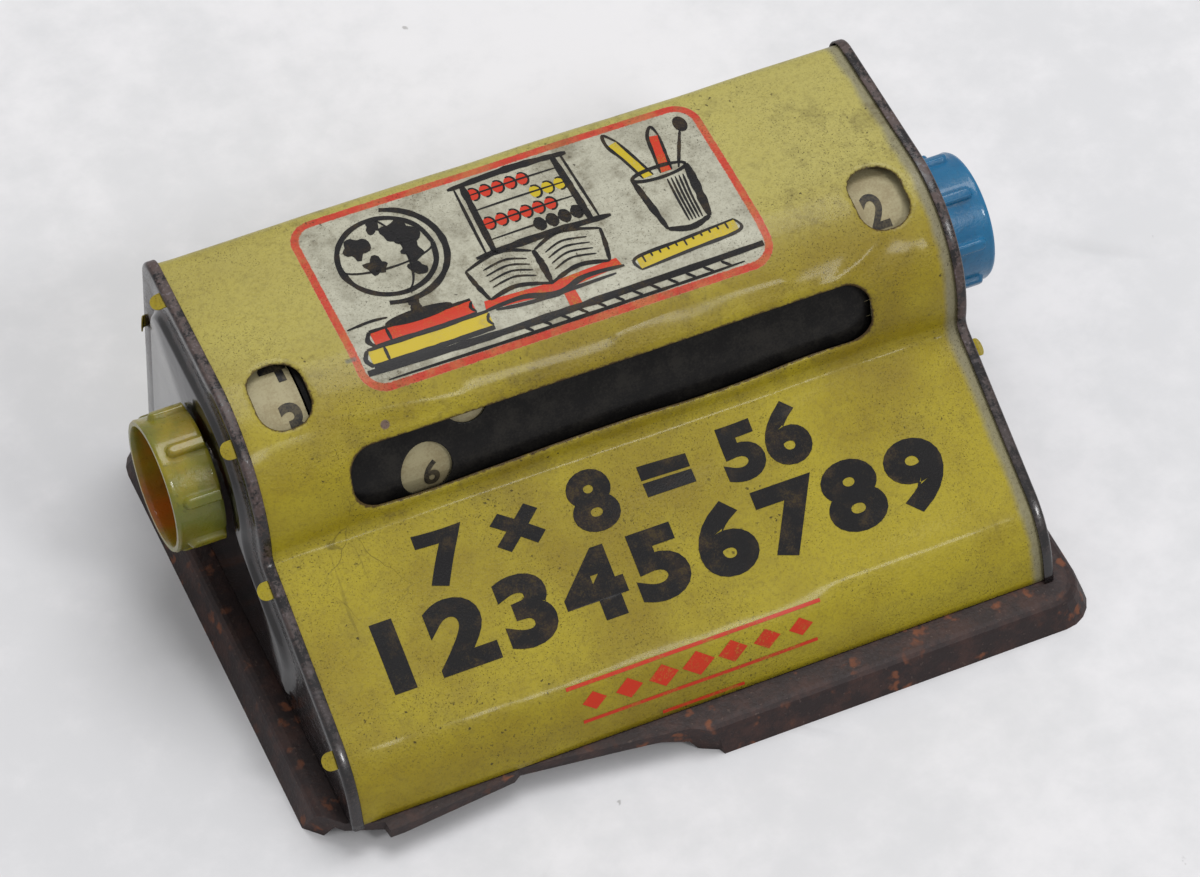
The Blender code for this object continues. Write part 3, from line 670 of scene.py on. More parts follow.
@dataclass
class Strip:
    """The cover's section as one line, measured from the top over the drum axis: back is negative."""

    axis: Vector = Vector((0.0224, 0.0453))
    shoulder: float = 0.0290
    back_reach: float = 0.0450
    lean: float = math.radians(3.0)
    back_bend: float = 0.0050
    valley: float = 0.0040
    offset: float = 0.0116
    slope: float = math.radians(25.1)
    panel_reach: float = 0.0708
    lip: float = 0.0220
    lip_slope: float = math.radians(70.0)
    foot: float = 0.0083

    def __post_init__(self) -> None:
        """Work out the bends' centres and where each stretch starts."""
        self.normal = Vector((-math.sin(self.slope), math.cos(self.slope)))
        self.down = Vector((-math.cos(self.slope), -math.sin(self.slope)))
        self.back_foot = Vector((self.axis.x + self.back_reach, self.foot))
        bend_z = self.axis.y + self.shoulder - self.back_bend
        back_y = self.back_foot.x - (bend_z - self.foot) * math.tan(self.lean)
        self.bend_centre = Vector((back_y - self.back_bend / math.cos(self.lean), bend_z))
        across = self.offset + self.valley
        self.valley_reach = math.sqrt((self.shoulder + self.valley) ** 2 - across ** 2)
        self.valley_centre = self.axis + self.normal * across + self.down * self.valley_reach
        ray = self.valley_centre - self.axis
        self.shoulder_end = math.atan2(ray.y, ray.x) % math.tau
        panel_end = self.axis + self.normal * self.offset + self.down * self.panel_reach
        self.lip_centre = panel_end - self.normal * self.lip
        self.lip_end = self.lip_centre + self.ray(math.pi / 2 + self.lip_slope) * self.lip
        self.top_back = self.axis.x - self.bend_centre.x
        self.bend_start = self.top_back - self.back_bend * (math.pi / 2 - self.lean)
        self.back_start = self.bend_start - (bend_z - self.foot) / math.cos(self.lean)
        self.shoulder_stop = self.shoulder * (self.shoulder_end - math.pi / 2)
        turn = self.shoulder_end - (math.pi / 2 + self.slope)
        self.panel_start = self.shoulder_stop + self.valley * turn
        self.panel_stop = self.panel_start + self.panel_reach - self.valley_reach
        self.lip_stop = self.panel_stop + self.lip * (self.lip_slope - self.slope)
        self.stop = self.lip_stop + (self.lip_end.y - self.foot) / math.sin(self.lip_slope)

    @staticmethod
    def ray(angle: float) -> Vector:
        """Return the direction at an angle from +Y towards +Z."""
        return Vector((math.cos(angle), math.sin(angle)))

    def frame(self, along: float) -> tuple[Vector, Vector]:
        """Return the point and the outward normal at a place along the strip.

        Args:
            along: The place, in metres.

        Returns:
            Point and normal, as (y, z).
        """
        if along < self.bend_start:
            normal = self.ray(self.lean)
            side = Vector((-math.sin(self.lean), math.cos(self.lean)))
            return self.back_foot + side * (along - self.back_start), normal
        if along < self.top_back:
            normal = self.ray(self.lean + (along - self.bend_start) / self.back_bend)
            return self.bend_centre + normal * self.back_bend, normal
        if along < 0.0:
            return Vector((self.axis.x - along, self.axis.y + self.shoulder)), Vector((0.0, 1.0))
        if along < self.shoulder_stop:
            normal = self.ray(math.pi / 2 + along / self.shoulder)
            return self.axis + normal * self.shoulder, normal
        if along < self.panel_start:
            normal = self.ray(self.shoulder_end - (along - self.shoulder_stop) / self.valley)
            return self.valley_centre - normal * self.valley, normal
        if along < self.panel_stop:
            reach = self.valley_reach + along - self.panel_start
            return self.axis + self.normal * self.offset + self.down * reach, self.normal
        if along < self.lip_stop:
            normal = self.ray(math.pi / 2 + self.slope + (along - self.panel_stop) / self.lip)
            return self.lip_centre + normal * self.lip, normal
        fall = Vector((-math.cos(self.lip_slope), -math.sin(self.lip_slope)))
        return self.lip_end + fall * (along - self.lip_stop), self.ray(math.pi / 2 + self.lip_slope)

    def rows(self) -> list[float]:
        """Return where the cross lines of a fine mesh lie, closer together in the bends.

        Returns:
            Places along the strip, in order.
        """
        stretches = (
            (self.back_start, self.bend_start, 26), (self.bend_start, self.top_back, 8),
            (self.top_back, 0.0, 24), (0.0, self.shoulder_stop, 44),
            (self.shoulder_stop, self.panel_start, 8),
            (self.panel_start, self.panel_stop, 30), (self.panel_stop, self.lip_stop, 18),
            (self.lip_stop, self.stop, 4),
        )
        places = [self.back_start]
        for start, stop, count in stretches:
            places += [start + (stop - start) * step / count for step in range(1, count + 1)]
        return places


@dataclass(frozen=True)
class Dent:
    """A push in, or a bulge out where its depth is negative, with an oval outline on the flat sheet."""

    across: float
    along: float
    depth: float
    half_across: float
    half_along: float

    def at(self, across: float, along: float) -> float:
        """Return how deep the dent is at a place on the sheet."""
        far = ((across - self.across) / self.half_across) ** 2 + ((along - self.along) / self.half_along) ** 2
        return self.depth * math.exp(-far)


@dataclass(frozen=True)
class Crease:
    """A fold line in the sheet, raised where its depth is negative."""

    points: tuple[Flat, ...]
    depth: float
    half_width: float

    def at(self, across: float, along: float) -> float:
        """Return how deep the crease is at a place on the sheet.

        Args:
            across: The place across.
            along: The place along.

        Returns:
            The depth, in metres.
        """
        reach = 3.0 * self.half_width
        if not self.points[0][0] - reach < across < self.points[-1][0] + reach:
            return 0.0
        gap = Workshop.gap_to(self.points, Vector((across, along)))
        return self.depth * math.exp(-((gap / self.half_width) ** 2))


class Workshop:
    """Mesh steps that several pieces share."""

    @staticmethod
    def gap_to(points: Sequence[Flat], point: Vector) -> float:
        """Return the distance from a point to a line through given points.

        Args:
            points: The line's points.
            point: The point.

        Returns:
            The distance.
        """
        best = math.inf
        for start, stop in zip(points, points[1:]):
            head, tail = Vector(start), Vector(stop)
            run = tail - head
            share = max(0.0, min(1.0, (point - head).dot(run) / max(run.length_squared, 1e-12)))
            best = min(best, (point - head - run * share).length)
        return best

    @staticmethod
    def piece(
        name: str, form: bmesh.types.BMesh, finish: bpy.types.Material, smooth: float = 35.0
    ) -> bpy.types.Object:
        """Turn a form into an object, shaded smooth apart from its sharp edges.

        Args:
            name: The piece's name.
            form: The finished form, which is freed.
            finish: Its material.
            smooth: The angle in degrees over which an edge is sharp.

        Returns:
            The object, linked to the scene.
        """
        mesh = bpy.data.meshes.new(name)
        form.to_mesh(mesh)
        form.free()
        mesh.materials.append(finish)
        mesh.shade_smooth()
        mesh.set_sharp_from_angle(angle=math.radians(smooth))
        made = bpy.data.objects.new(name, mesh)
        bpy.context.scene.collection.objects.link(made)
        return made

    @staticmethod
    def sheet(lines: Sequence[float], rows: Sequence[float]) -> bmesh.types.BMesh:
        """Make a flat sheet with cross lines at given places.

        Args:
            lines: Places across, in order.
            rows: Places along, in order.

        Returns:
            The form, flat in X and Y.
        """
        form = bmesh.new()
        bmesh.ops.create_grid(form, x_segments=len(lines) - 1, y_segments=len(rows) - 1, size=1.0)
        for vert in form.verts:
            across = round((vert.co.x + 1.0) / 2.0 * (len(lines) - 1))
            along = round((vert.co.y + 1.0) / 2.0 * (len(rows) - 1))
            vert.co = Vector((lines[across], rows[along], 0.0))
        return form

    @staticmethod
    def rounded(middle: Flat, size: Flat, corner: float, steps: int = 8) -> list[Flat]:
        """Return the outline of a rectangle with round corners, counter-clockwise.

        Args:
            middle: Its middle.
            size: Its width and height.
            corner: The corners' radius.
            steps: Segments in each corner.

        Returns:
            The outline's points.
        """
        points = []
        for number, (right, up) in enumerate(((1, 1), (-1, 1), (-1, -1), (1, -1))):
            x = middle[0] + right * (size[0] / 2 - corner)
            y = middle[1] + up * (size[1] / 2 - corner)
            for step in range(steps + 1):
                angle = math.pi / 2 * (number + step / steps)
                points.append((x + corner * math.cos(angle), y + corner * math.sin(angle)))
        return points

    @staticmethod
    def punch(form: bmesh.types.BMesh, outline: Sequence[Flat], across: Vector, along: Vector) -> None:
        """Cut a convex opening out of a flat stretch of a form.

        Args:
            form: The form.
            outline: The opening, counter-clockwise in the plane of across and along.
            across: The plane's first direction.
            along: The plane's second direction.
        """
        points = [across * x + along * y for x, y in outline]
        middle = sum(points, Vector()) / len(points)
        reach = max((point - middle).length for point in points)
        facing = across.cross(along)
        inside = []
        for face in form.faces:
            away = face.calc_center_median() - middle
            away -= facing * away.dot(facing)
            if away.length < reach + math.sqrt(face.calc_area()) * 2 and abs(face.normal.dot(facing)) > 0.5:
                inside.append(face)
        for start, stop in zip(points, points[1:] + points[:1]):
            run = stop - start
            if run.length < 1e-7:
                continue
            outward = run.cross(facing).normalized()
            parts = set(inside)
            parts.update(edge for face in inside for edge in face.edges)
            parts.update(vert for face in inside for vert in face.verts)
            cut = bmesh.ops.bisect_plane(form, geom=list(parts), dist=1e-7, plane_co=start, plane_no=outward)
            faces = {item for item in cut["geom"] if isinstance(item, bmesh.types.BMFace)}
            inside = [face for face in faces if (face.calc_center_median() - start).dot(outward) < 0.0]
        bmesh.ops.delete(form, geom=inside, context="FACES")

    @staticmethod
    def slice_up(form: bmesh.types.BMesh, step: float, direction: Vector) -> None:
        """Cut a form at even steps, so that it can follow a bend.

        Args:
            form: The form.
            step: The distance between cuts.
            direction: The cuts' normal.
        """
        places = [vert.co.dot(direction) for vert in form.verts]
        for number in range(math.ceil(min(places) / step), math.floor(max(places) / step) + 1):
            everything = form.verts[:] + form.edges[:] + form.faces[:]
            place = direction * (number * step)
            bmesh.ops.bisect_plane(form, geom=everything, dist=1e-7, plane_co=place, plane_no=direction)

    @staticmethod
    def map_sheet(form: bmesh.types.BMesh) -> None:
        """Keep each vertex's place on the flat sheet in a UV map.

        Args:
            form: The form, still flat.
        """
        layer = form.loops.layers.uv.new("Sheet")
        for face in form.faces:
            for loop in face.loops:
                loop[layer].uv = loop.vert.co.xy

    @staticmethod
    def turned(profile: Sequence[Flat], steps: int, axis: Vector) -> bmesh.types.BMesh:
        """Spin a profile about the drum axis.

        Args:
            profile: Points (place along X, radius).
            steps: Segments round.
            axis: A point on the axis.

        Returns:
            The form, with its normals pointing out.
        """
        form = bmesh.new()
        verts = [form.verts.new((axis.x + place, axis.y, axis.z + radius)) for place, radius in profile]
        edges = [form.edges.new(pair) for pair in zip(verts, verts[1:])]
        bmesh.ops.spin(
            form, geom=verts + edges, cent=axis, axis=(1.0, 0.0, 0.0), angle=math.tau, steps=steps,
            use_merge=True, use_duplicate=False,
        )
        bmesh.ops.remove_doubles(form, verts=form.verts[:], dist=1e-6)
        bmesh.ops.recalc_face_normals(form, faces=form.faces[:])
        return form

    @staticmethod
    def wall(made: bpy.types.Object, thickness: float) -> None:
        """Give a skin its wall, inwards from its face.

        Args:
            made: The skin's object.
            thickness: The wall's thickness.
        """
        solid = made.modifiers.new("wall", "SOLIDIFY")
        solid.thickness = thickness
        solid.offset = -1.0
        solid.use_even_offset = True

    @staticmethod
    def collect(form: bmesh.types.BMesh, part: bmesh.types.BMesh) -> None:
        """Add a part to a form and free it.

        Args:
            form: The form that grows.
            part: The part.
        """
        holder = bpy.data.meshes.new("part")
        part.to_mesh(holder)
        part.free()
        form.from_mesh(holder)
        bpy.data.meshes.remove(holder)

    @staticmethod
    def lettering(body: str, height: float, weight: float = 0.0, gap: float = 1.0) -> bmesh.types.BMesh:
        """Make flat numbers or signs.

        Args:
            body: The characters.
            height: How tall a figure is.
            weight: How much heavier than plain, as a share of the size.
            gap: How far apart the characters stand, as a share of the usual.

        Returns:
            The form, flat in X and Y, with its middle at the origin.
        """
        curve = bpy.data.curves.new("figures", "FONT")
        curve.body = body
        curve.align_x = "CENTER"
        curve.align_y = "CENTER"
        curve.size = height / 0.70
        curve.offset = curve.size * weight
        curve.space_character = gap
        curve.resolution_u = 5
        holder = bpy.data.objects.new("figures", curve)
        bpy.context.scene.collection.objects.link(holder)
        bpy.context.view_layer.update()
        flat = bpy.data.meshes.new_from_object(holder.evaluated_get(bpy.context.evaluated_depsgraph_get()))
        form = bmesh.new()
        form.from_mesh(flat)
        bpy.data.objects.remove(holder)
        bpy.data.curves.remove(curve)
        bpy.data.meshes.remove(flat)
        bmesh.ops.remove_doubles(form, verts=form.verts[:], dist=1e-7)
        return form


def report(made: bpy.types.Object, body: str, slot: str, *nodes: str) -> None:
    """Fasten a piece to its body, hide the solids that it replaces, and log it.

    Args:
        made: The piece.
        body: The body that it rides on.
        slot: The record's material slot; not used.
        nodes: The solids that it stands for.
    """
    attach(made, body)
    if nodes:
        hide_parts(*nodes)
    LOG.info("%s: %d vertices on %s", made.name, len(made.data.vertices), body)


@dataclass
class Cover:
    """The bent tin cover with its windows, slot, tabs and print."""

    strip: Strip
    half_length: float = 0.0894
    sheet: float = 0.0005
    columns: int = 130
    window_place: float = 0.0759
    window_size: Flat = (0.0130, 0.0168)
    window_corner: float = 0.0058
    window_along: float = 0.00729
    slot_size: Flat = (0.1320, 0.0160)
    slot_corner: float = 0.0066
    slot_along: float = 0.0331
    lip_depth: float = 0.0004
    lip_reach: float = 0.0012
    ink_lift: float = 0.00005
    picture_middle: Flat = (-0.0050, -0.0112)
    tab_width: float = 0.0044
    tab_reach: float = 0.0050
    tab_corner: float = 0.0020
    tab_sheet: float = 0.0003
    tab_root: float = 0.0884
    tab_straight: float = 0.0021
    tab_radius: float = 0.0009
    tab_crimp: float = 0.0003
    tab_print: Flat = (0.0600, 0.0700)
    tab_back: float = 0.0427
    tab_top: float = -0.0285
    tab_shoulder: float = 0.0159
    tab_valley: float = 0.00438
    tab_lip: float = 0.0044
    tab_cut: float = 0.0004
    tab_sink: float = 0.0001
    folded: float = 80.0
    tab_bends: dict[Side, tuple[float, ...]] = field(default_factory=lambda: {
        Side.LEFT: (66.0, 14.0, 8.0, 12.0, 10.0), Side.RIGHT: (70.0, 88.0, 88.0, 44.0, 84.0),
    })
    end_ease: float = 0.006
    wave_depth: float = 0.00040
    ripple_depth: float = 0.00009
    lip_wave: float = 0.00022
    valley_drift: float = 0.0034
    dents: tuple[Dent, ...] = (
        Dent(0.066, 0.062, 0.0008, 0.011, 0.018),
        Dent(0.083, 0.049, 0.0011, 0.006, 0.004),
        Dent(-0.058, 0.023, 0.0005, 0.020, 0.005),
        Dent(-0.022, 0.026, 0.0004, 0.010, 0.004),
        Dent(0.028, 0.012, 0.0004, 0.022, 0.004),
        Dent(0.010, 0.056, 0.0006, 0.018, 0.005),
        Dent(-0.040, 0.088, 0.0005, 0.022, 0.006),
        Dent(0.012, 0.088, 0.0004, 0.016, 0.005),
        Dent(0.060, 0.086, 0.0006, 0.016, 0.005),
        Dent(-0.066, 0.060, 0.0005, 0.012, 0.012),
        Dent(0.083, 0.026, -0.0006, 0.005, 0.010),
        Dent(0.070, 0.010, -0.0003, 0.006, 0.006),
    )
    creases: tuple[Crease, ...] = (
        Crease(((0.0560, 0.0250), (0.0655, 0.0209), (0.0725, 0.0165)), -0.00035, 0.0015),
        Crease(((-0.087, 0.0946), (-0.035, 0.0970), (0.0, 0.0977), (0.031, 0.0984)), -0.00030, 0.0030),
        Crease(((0.036, 0.0945), (0.060, 0.0938), (0.087, 0.0945)), -0.00030, 0.0028),
        Crease(((0.040, 0.0545), (0.060, 0.0520), (0.084, 0.0500)), -0.00030, 0.0022),
        Crease(((-0.070, 0.0150), (-0.052, 0.0185), (-0.036, 0.0210)), -0.00025, 0.0020),
        Crease(((0.004, 0.0180), (0.024, 0.0165), (0.046, 0.0185)), -0.00020, 0.0022),
    )

    def openings(self) -> list[list[Flat]]:
        """Return the outlines of the two windows and the slot on the flat sheet.

        Returns:
            The outlines, each counter-clockwise.
        """
        outlines = [Workshop.rounded((0.0, self.slot_along), self.slot_size, self.slot_corner)]
        for side in Side:
            middle = (side.value * self.window_place, self.window_along)
            outlines.append(Workshop.rounded(middle, self.window_size, self.window_corner))
        return outlines

    def hollow(self, across: float, along: float) -> float:
        """Return how far the tin is pushed in at a place on the sheet.

        Args:
            across: The place along X.
            along: The place along the strip.

        Returns:
            The depth, which fades out at the ends and at the foot.
        """
        edge = min(1.0, (self.half_length - abs(across)) / self.end_ease)
        foot = min(1.0, max(0.0, (self.strip.stop - along) / self.end_ease))
        waves = noise.noise(Vector((across * 24.0, along * 30.0, 1.7))) * self.wave_depth
        waves += noise.noise(Vector((across * 75.0, along * 90.0, 5.1))) * self.ripple_depth
        lip = math.exp(-(((along - self.strip.panel_stop - 0.006) / 0.008) ** 2))
        waves += noise.noise(Vector((across * 95.0, along * 70.0, 8.4))) * self.lip_wave * lip
        marks = sum(mark.at(across, along) for mark in (*self.dents, *self.creases))
        return (marks + waves) * edge * foot

    def point(self, across: float, along: float, lift: float = 0.0) -> Vector:
        """Return where a place on the flat sheet ends up on the bent cover.

        Args:
            across: The place along X.
            along: The place along the strip.
            lift: The height over the tin's face.

        Returns:
            The point.
        """
        near = math.exp(-(((along - self.strip.panel_start) / 0.009) ** 2))
        edge = min(1.0, (self.half_length - abs(across)) / (2.0 * self.end_ease))
        drift = noise.noise(Vector((across * 31.0, 3.3, 0.0))) * self.valley_drift * near * edge
        spot, normal = self.strip.frame(along + drift)
        spot = spot + normal * (lift - self.hollow(across, along))
        return Vector((across, spot.x, spot.y))

    def make(self, finish: bpy.types.Material) -> bpy.types.Object:
        """Stamp the sheet, turn in the openings' edges and bend it.

        Args:
            finish: Its material.

        Returns:
            The cover.
        """
        lines = [self.half_length * (2.0 * step / self.columns - 1.0) for step in range(self.columns + 1)]
        form = Workshop.sheet(lines, self.strip.rows())
        openings = self.openings()
        for outline in openings:
            Workshop.punch(form, outline, Vector((1.0, 0.0, 0.0)), Vector((0.0, 1.0, 0.0)))
        bmesh.ops.triangulate(form, faces=[face for face in form.faces if len(face.verts) > 4])
        Workshop.map_sheet(form)
        for vert in form.verts:
            flat = vert.co.xy
            sunk = 0.0
            for outline in openings:
                gap = Workshop.gap_to([*outline, outline[0]], flat)
                sunk = max(sunk, self.lip_depth * max(0.0, 1.0 - gap / self.lip_reach) ** 2)
            vert.co = self.point(flat.x, flat.y, -sunk)
        bmesh.ops.reverse_faces(form, faces=form.faces[:])
        made = Workshop.piece("tin_cover", form, finish, 60.0)
        Workshop.wall(made, self.sheet)
        return made

    def tab_places(self) -> list[float]:
        """Return where the tabs stand along the strip."""
        front = [self.strip.panel_start + self.tab_valley, self.strip.panel_stop + self.tab_lip]
        return [self.strip.back_start + self.tab_back, self.tab_top, self.tab_shoulder, *front]

    def tabs(self, finish: bpy.types.Material) -> bpy.types.Object:
        """Make the tongues that pass through the end plates and are bent down behind them.

        Args:
            finish: Their material.

        Returns:
            The tabs, as one piece.
        """
        form = bmesh.new()
        places = [(side, *tab) for side in Side for tab in zip(self.tab_places(), self.tab_bends[side])]
        for side, along, bend in places:
            tongue = bmesh.new()
            outline = Workshop.rounded((0.0, 0.0), (2 * self.tab_reach, self.tab_width), self.tab_corner)
            disc = bmesh.ops.create_circle(tongue, cap_ends=True, segments=len(outline), radius=1.0)
            for vert, (x, y) in zip(disc["verts"], outline):
                vert.co = Vector((x, y, 0.0))
            Workshop.slice_up(tongue, self.tab_cut, Vector((1.0, 0.0, 0.0)))
            inner = [face for face in tongue.faces if face.calc_center_median().x < 0.0]
            bmesh.ops.delete(tongue, geom=inner, context="FACES")
            bmesh.ops.reverse_faces(tongue, faces=[face for face in tongue.faces if face.normal.z < 0.0])
            spot, normal = self.strip.frame(along)
            run, out = Vector((0.0, normal.y, -normal.x)), Vector((0.0, normal.x, normal.y))
            root = Vector((side.value * self.tab_root, spot.x, spot.y)) - out * self.tab_sink
            radius = self.tab_radius if bend < self.folded else self.tab_crimp
            straight = self.tab_straight if bend < self.folded else self.tab_straight - self.tab_crimp
            for vert in tongue.verts:
                turn = min(math.radians(bend), max(0.0, vert.co.x - straight) / radius)
                rest = max(0.0, vert.co.x - straight - turn * radius)
                reach = min(vert.co.x, straight) + radius * math.sin(turn) + rest * math.cos(turn)
                fall = radius * (1.0 - math.cos(turn)) + rest * math.sin(turn)
                sideways = Vector((side.value * reach, 0.0, 0.0)) + run * (vert.co.y * side.value)
                vert.co = root + sideways - out * fall
            Workshop.collect(form, tongue)
        layer = form.loops.layers.uv.new("Sheet")
        for loop in (loop for face in form.faces for loop in face.loops):
            loop[layer].uv = self.tab_print
        bmesh.ops.recalc_face_normals(form, faces=form.faces[:])
        bmesh.ops.solidify(form, geom=form.faces[:], thickness=self.tab_sheet)
        return Workshop.piece("cover_tabs", form, finish)


class Printing:
    """Lays ink out on the flat sheet and lets it follow the cover."""

    def __init__(self, cover: Cover) -> None:
        """Start with an empty form for each ink.

        Args:
            cover: The cover that is printed.
        """
        self.cover = cover
        self.forms = {ink: bmesh.new() for ink in Ink}

    def add(self, ink: Ink, form: bmesh.types.BMesh, middle: Flat) -> None:
        """Add a flat form to an ink.

        Args:
            ink: The ink.
            form: The form, with Y pointing up the sheet, which is freed.
            middle: Where its origin goes, across and along.
        """
        form.transform(Matrix.Translation((*middle, 0.0)) @ Matrix.Diagonal((1.0, -1.0, 1.0, 1.0)))
        Workshop.collect(self.forms[ink], form)

    def finish(self, dress: Callable[[Ink], bpy.types.Material]) -> list[bpy.types.Object]:
        """Bend every ink onto the cover.

        Args:
            dress: Gives the material of an ink.

        Returns:
            The ink pieces.
        """
        made = []
        for number, (ink, form) in enumerate(self.forms.items()):
            Workshop.slice_up(form, 0.0014, Vector((0.0, 1.0, 0.0)))
            Workshop.slice_up(form, 0.0028, Vector((1.0, 0.0, 0.0)))
            bmesh.ops.triangulate(form, faces=[face for face in form.faces if len(face.verts) > 4])
            Workshop.map_sheet(form)
            lift = self.cover.ink_lift * (1.0 + 0.5 * (2 - number))
            for vert in form.verts:
                vert.co = self.cover.point(vert.co.x, vert.co.y, lift)
            for face in form.faces:
                face.normal_update()
                if face.normal.z < 0.0 and abs(face.normal.z) > 0.05:
                    face.normal_flip()
            made.append(Workshop.piece("print_" + ink.value, form, dress(ink), 60.0))
        return made


@dataclass(frozen=True)
class Pen:
    """Draws on the printed picture, in millimetres from a point of its own, with Y up."""

    printing: Printing
    x: float
    y: float
    scale: float = 1.0

    def line(self, points: Sequence[Flat], width: float, taper: float = 0.35) -> None:
        """Draw a black brush stroke along a smooth line, thick in its middle.

        Args:
            points: The line's points.
            width: Its greatest width.
            taper: Its width at the ends, as a share.
        """
        steps = 6 if len(points) > 4 else 10
        count = (len(points) - 1) * steps
        form = bmesh.new()
        bmesh.ops.create_grid(form, x_segments=count, y_segments=1, size=1.0)
        for vert in form.verts:
            share = (vert.co.x + 1.0) / 2.0
            spot, run = self.curve(points, share * (len(points) - 1))
            half = width / 2.0 * (taper + (1.0 - taper) * math.sin(math.pi * share) ** 0.6)
            half *= 1.0 + 0.30 * noise.noise(Vector((share * 9.0, spot.x * 0.3, spot.y * 0.3)))
            side = Vector((-run.y, run.x)) * half * vert.co.y
            vert.co = Vector((*(spot + side), 0.0))
        self.lay(Ink.BLACK, form)

    def fill(self, ink: Ink, outline: Sequence[Flat]) -> None:
        """Fill an outline with ink.

        Args:
            ink: The ink.
            outline: The outline's points.
        """
        form = bmesh.new()
        disc = bmesh.ops.create_circle(form, cap_ends=True, segments=len(outline), radius=1.0)
        for vert, (x, y) in zip(disc["verts"], outline):
            vert.co = Vector((x, y, 0.0))
        self.lay(ink, form)

    def oval(self, ink: Ink, middle: Flat, half: Flat, uneven: float = 0.0) -> None:
        """Fill an oval with ink.

        Args:
            ink: The ink.
            middle: The oval's middle.
            half: Half its width and height.
            uneven: How uneven its edge is, as a share of its size.
        """
        outline = []
        for turn in (math.tau * step / 24 for step in range(24)):
            ray = Vector((math.cos(turn), math.sin(turn)))
            reach = 1.0 + uneven * noise.noise(Vector((*(ray * 1.4), middle[0])))
            outline.append((middle[0] + half[0] * reach * ray.x, middle[1] + half[1] * reach * ray.y))
        self.fill(ink, outline)

    def ring(self, middle: Flat, half: Flat, width: float, start: float = 0.0, stop: float = 360.0) -> None:
        """Draw round an oval, or round a part of it.

        Args:
            middle: The oval's middle.
            half: Half its width and height.
            width: The stroke's width.
            start: The angle where the stroke starts, in degrees.
            stop: The angle where it ends.
        """
        turns = [math.radians(start + (stop - start) * step / 12) for step in range(13)]
        points = [(middle[0] + half[0] * math.cos(t), middle[1] + half[1] * math.sin(t)) for t in turns]
        self.line(points, width, taper=0.8)

    def lay(self, ink: Ink, form: bmesh.types.BMesh) -> None:
        """Scale a form to the sheet and print it.

        Args:
            ink: The ink.
            form: The form, in the pen's millimetres, which is freed.
        """
        bmesh.ops.scale(form, vec=(self.scale, self.scale, 1.0), verts=form.verts)
        bmesh.ops.translate(form, vec=(self.x, self.y, 0.0), verts=form.verts)
        bmesh.ops.scale(form, vec=(0.001, 0.001, 0.001), verts=form.verts)
        self.printing.add(ink, form, self.printing.cover.picture_middle)

    @staticmethod
    def curve(points: Sequence[Flat], place: float) -> tuple[Vector, Vector]:
        """Return a point and direction on the smooth line through given points.

        Args:
            points: The line's points.
            place: The number of the point before, and the share beyond it.

        Returns:
            The point and the unit direction.
        """
        first = min(int(place), len(points) - 2)
        share = place - first
        pick = [Vector(points[max(0, min(len(points) - 1, first + step))]) for step in (-1, 0, 1, 2)]
        low, high = (pick[2] - pick[0]) / 2.0, (pick[3] - pick[1]) / 2.0
        square, cube = share * share, share ** 3
        spot = pick[1] * (2 * cube - 3 * square + 1) + low * (cube - 2 * square + share)
        spot += pick[2] * (3 * square - 2 * cube) + high * (cube - square)
        run = pick[1] * (6 * square - 6 * share) + low * (3 * square - 4 * share + 1)
        run += pick[2] * (6 * share - 6 * square) + high * (3 * square - 2 * share)
        return spot, run.normalized()


@dataclass(frozen=True)
class Row:
    """A row of large black figures on the front panel."""

    body: str
    middle: Flat
    size: Flat
    weight: float
    gap: float


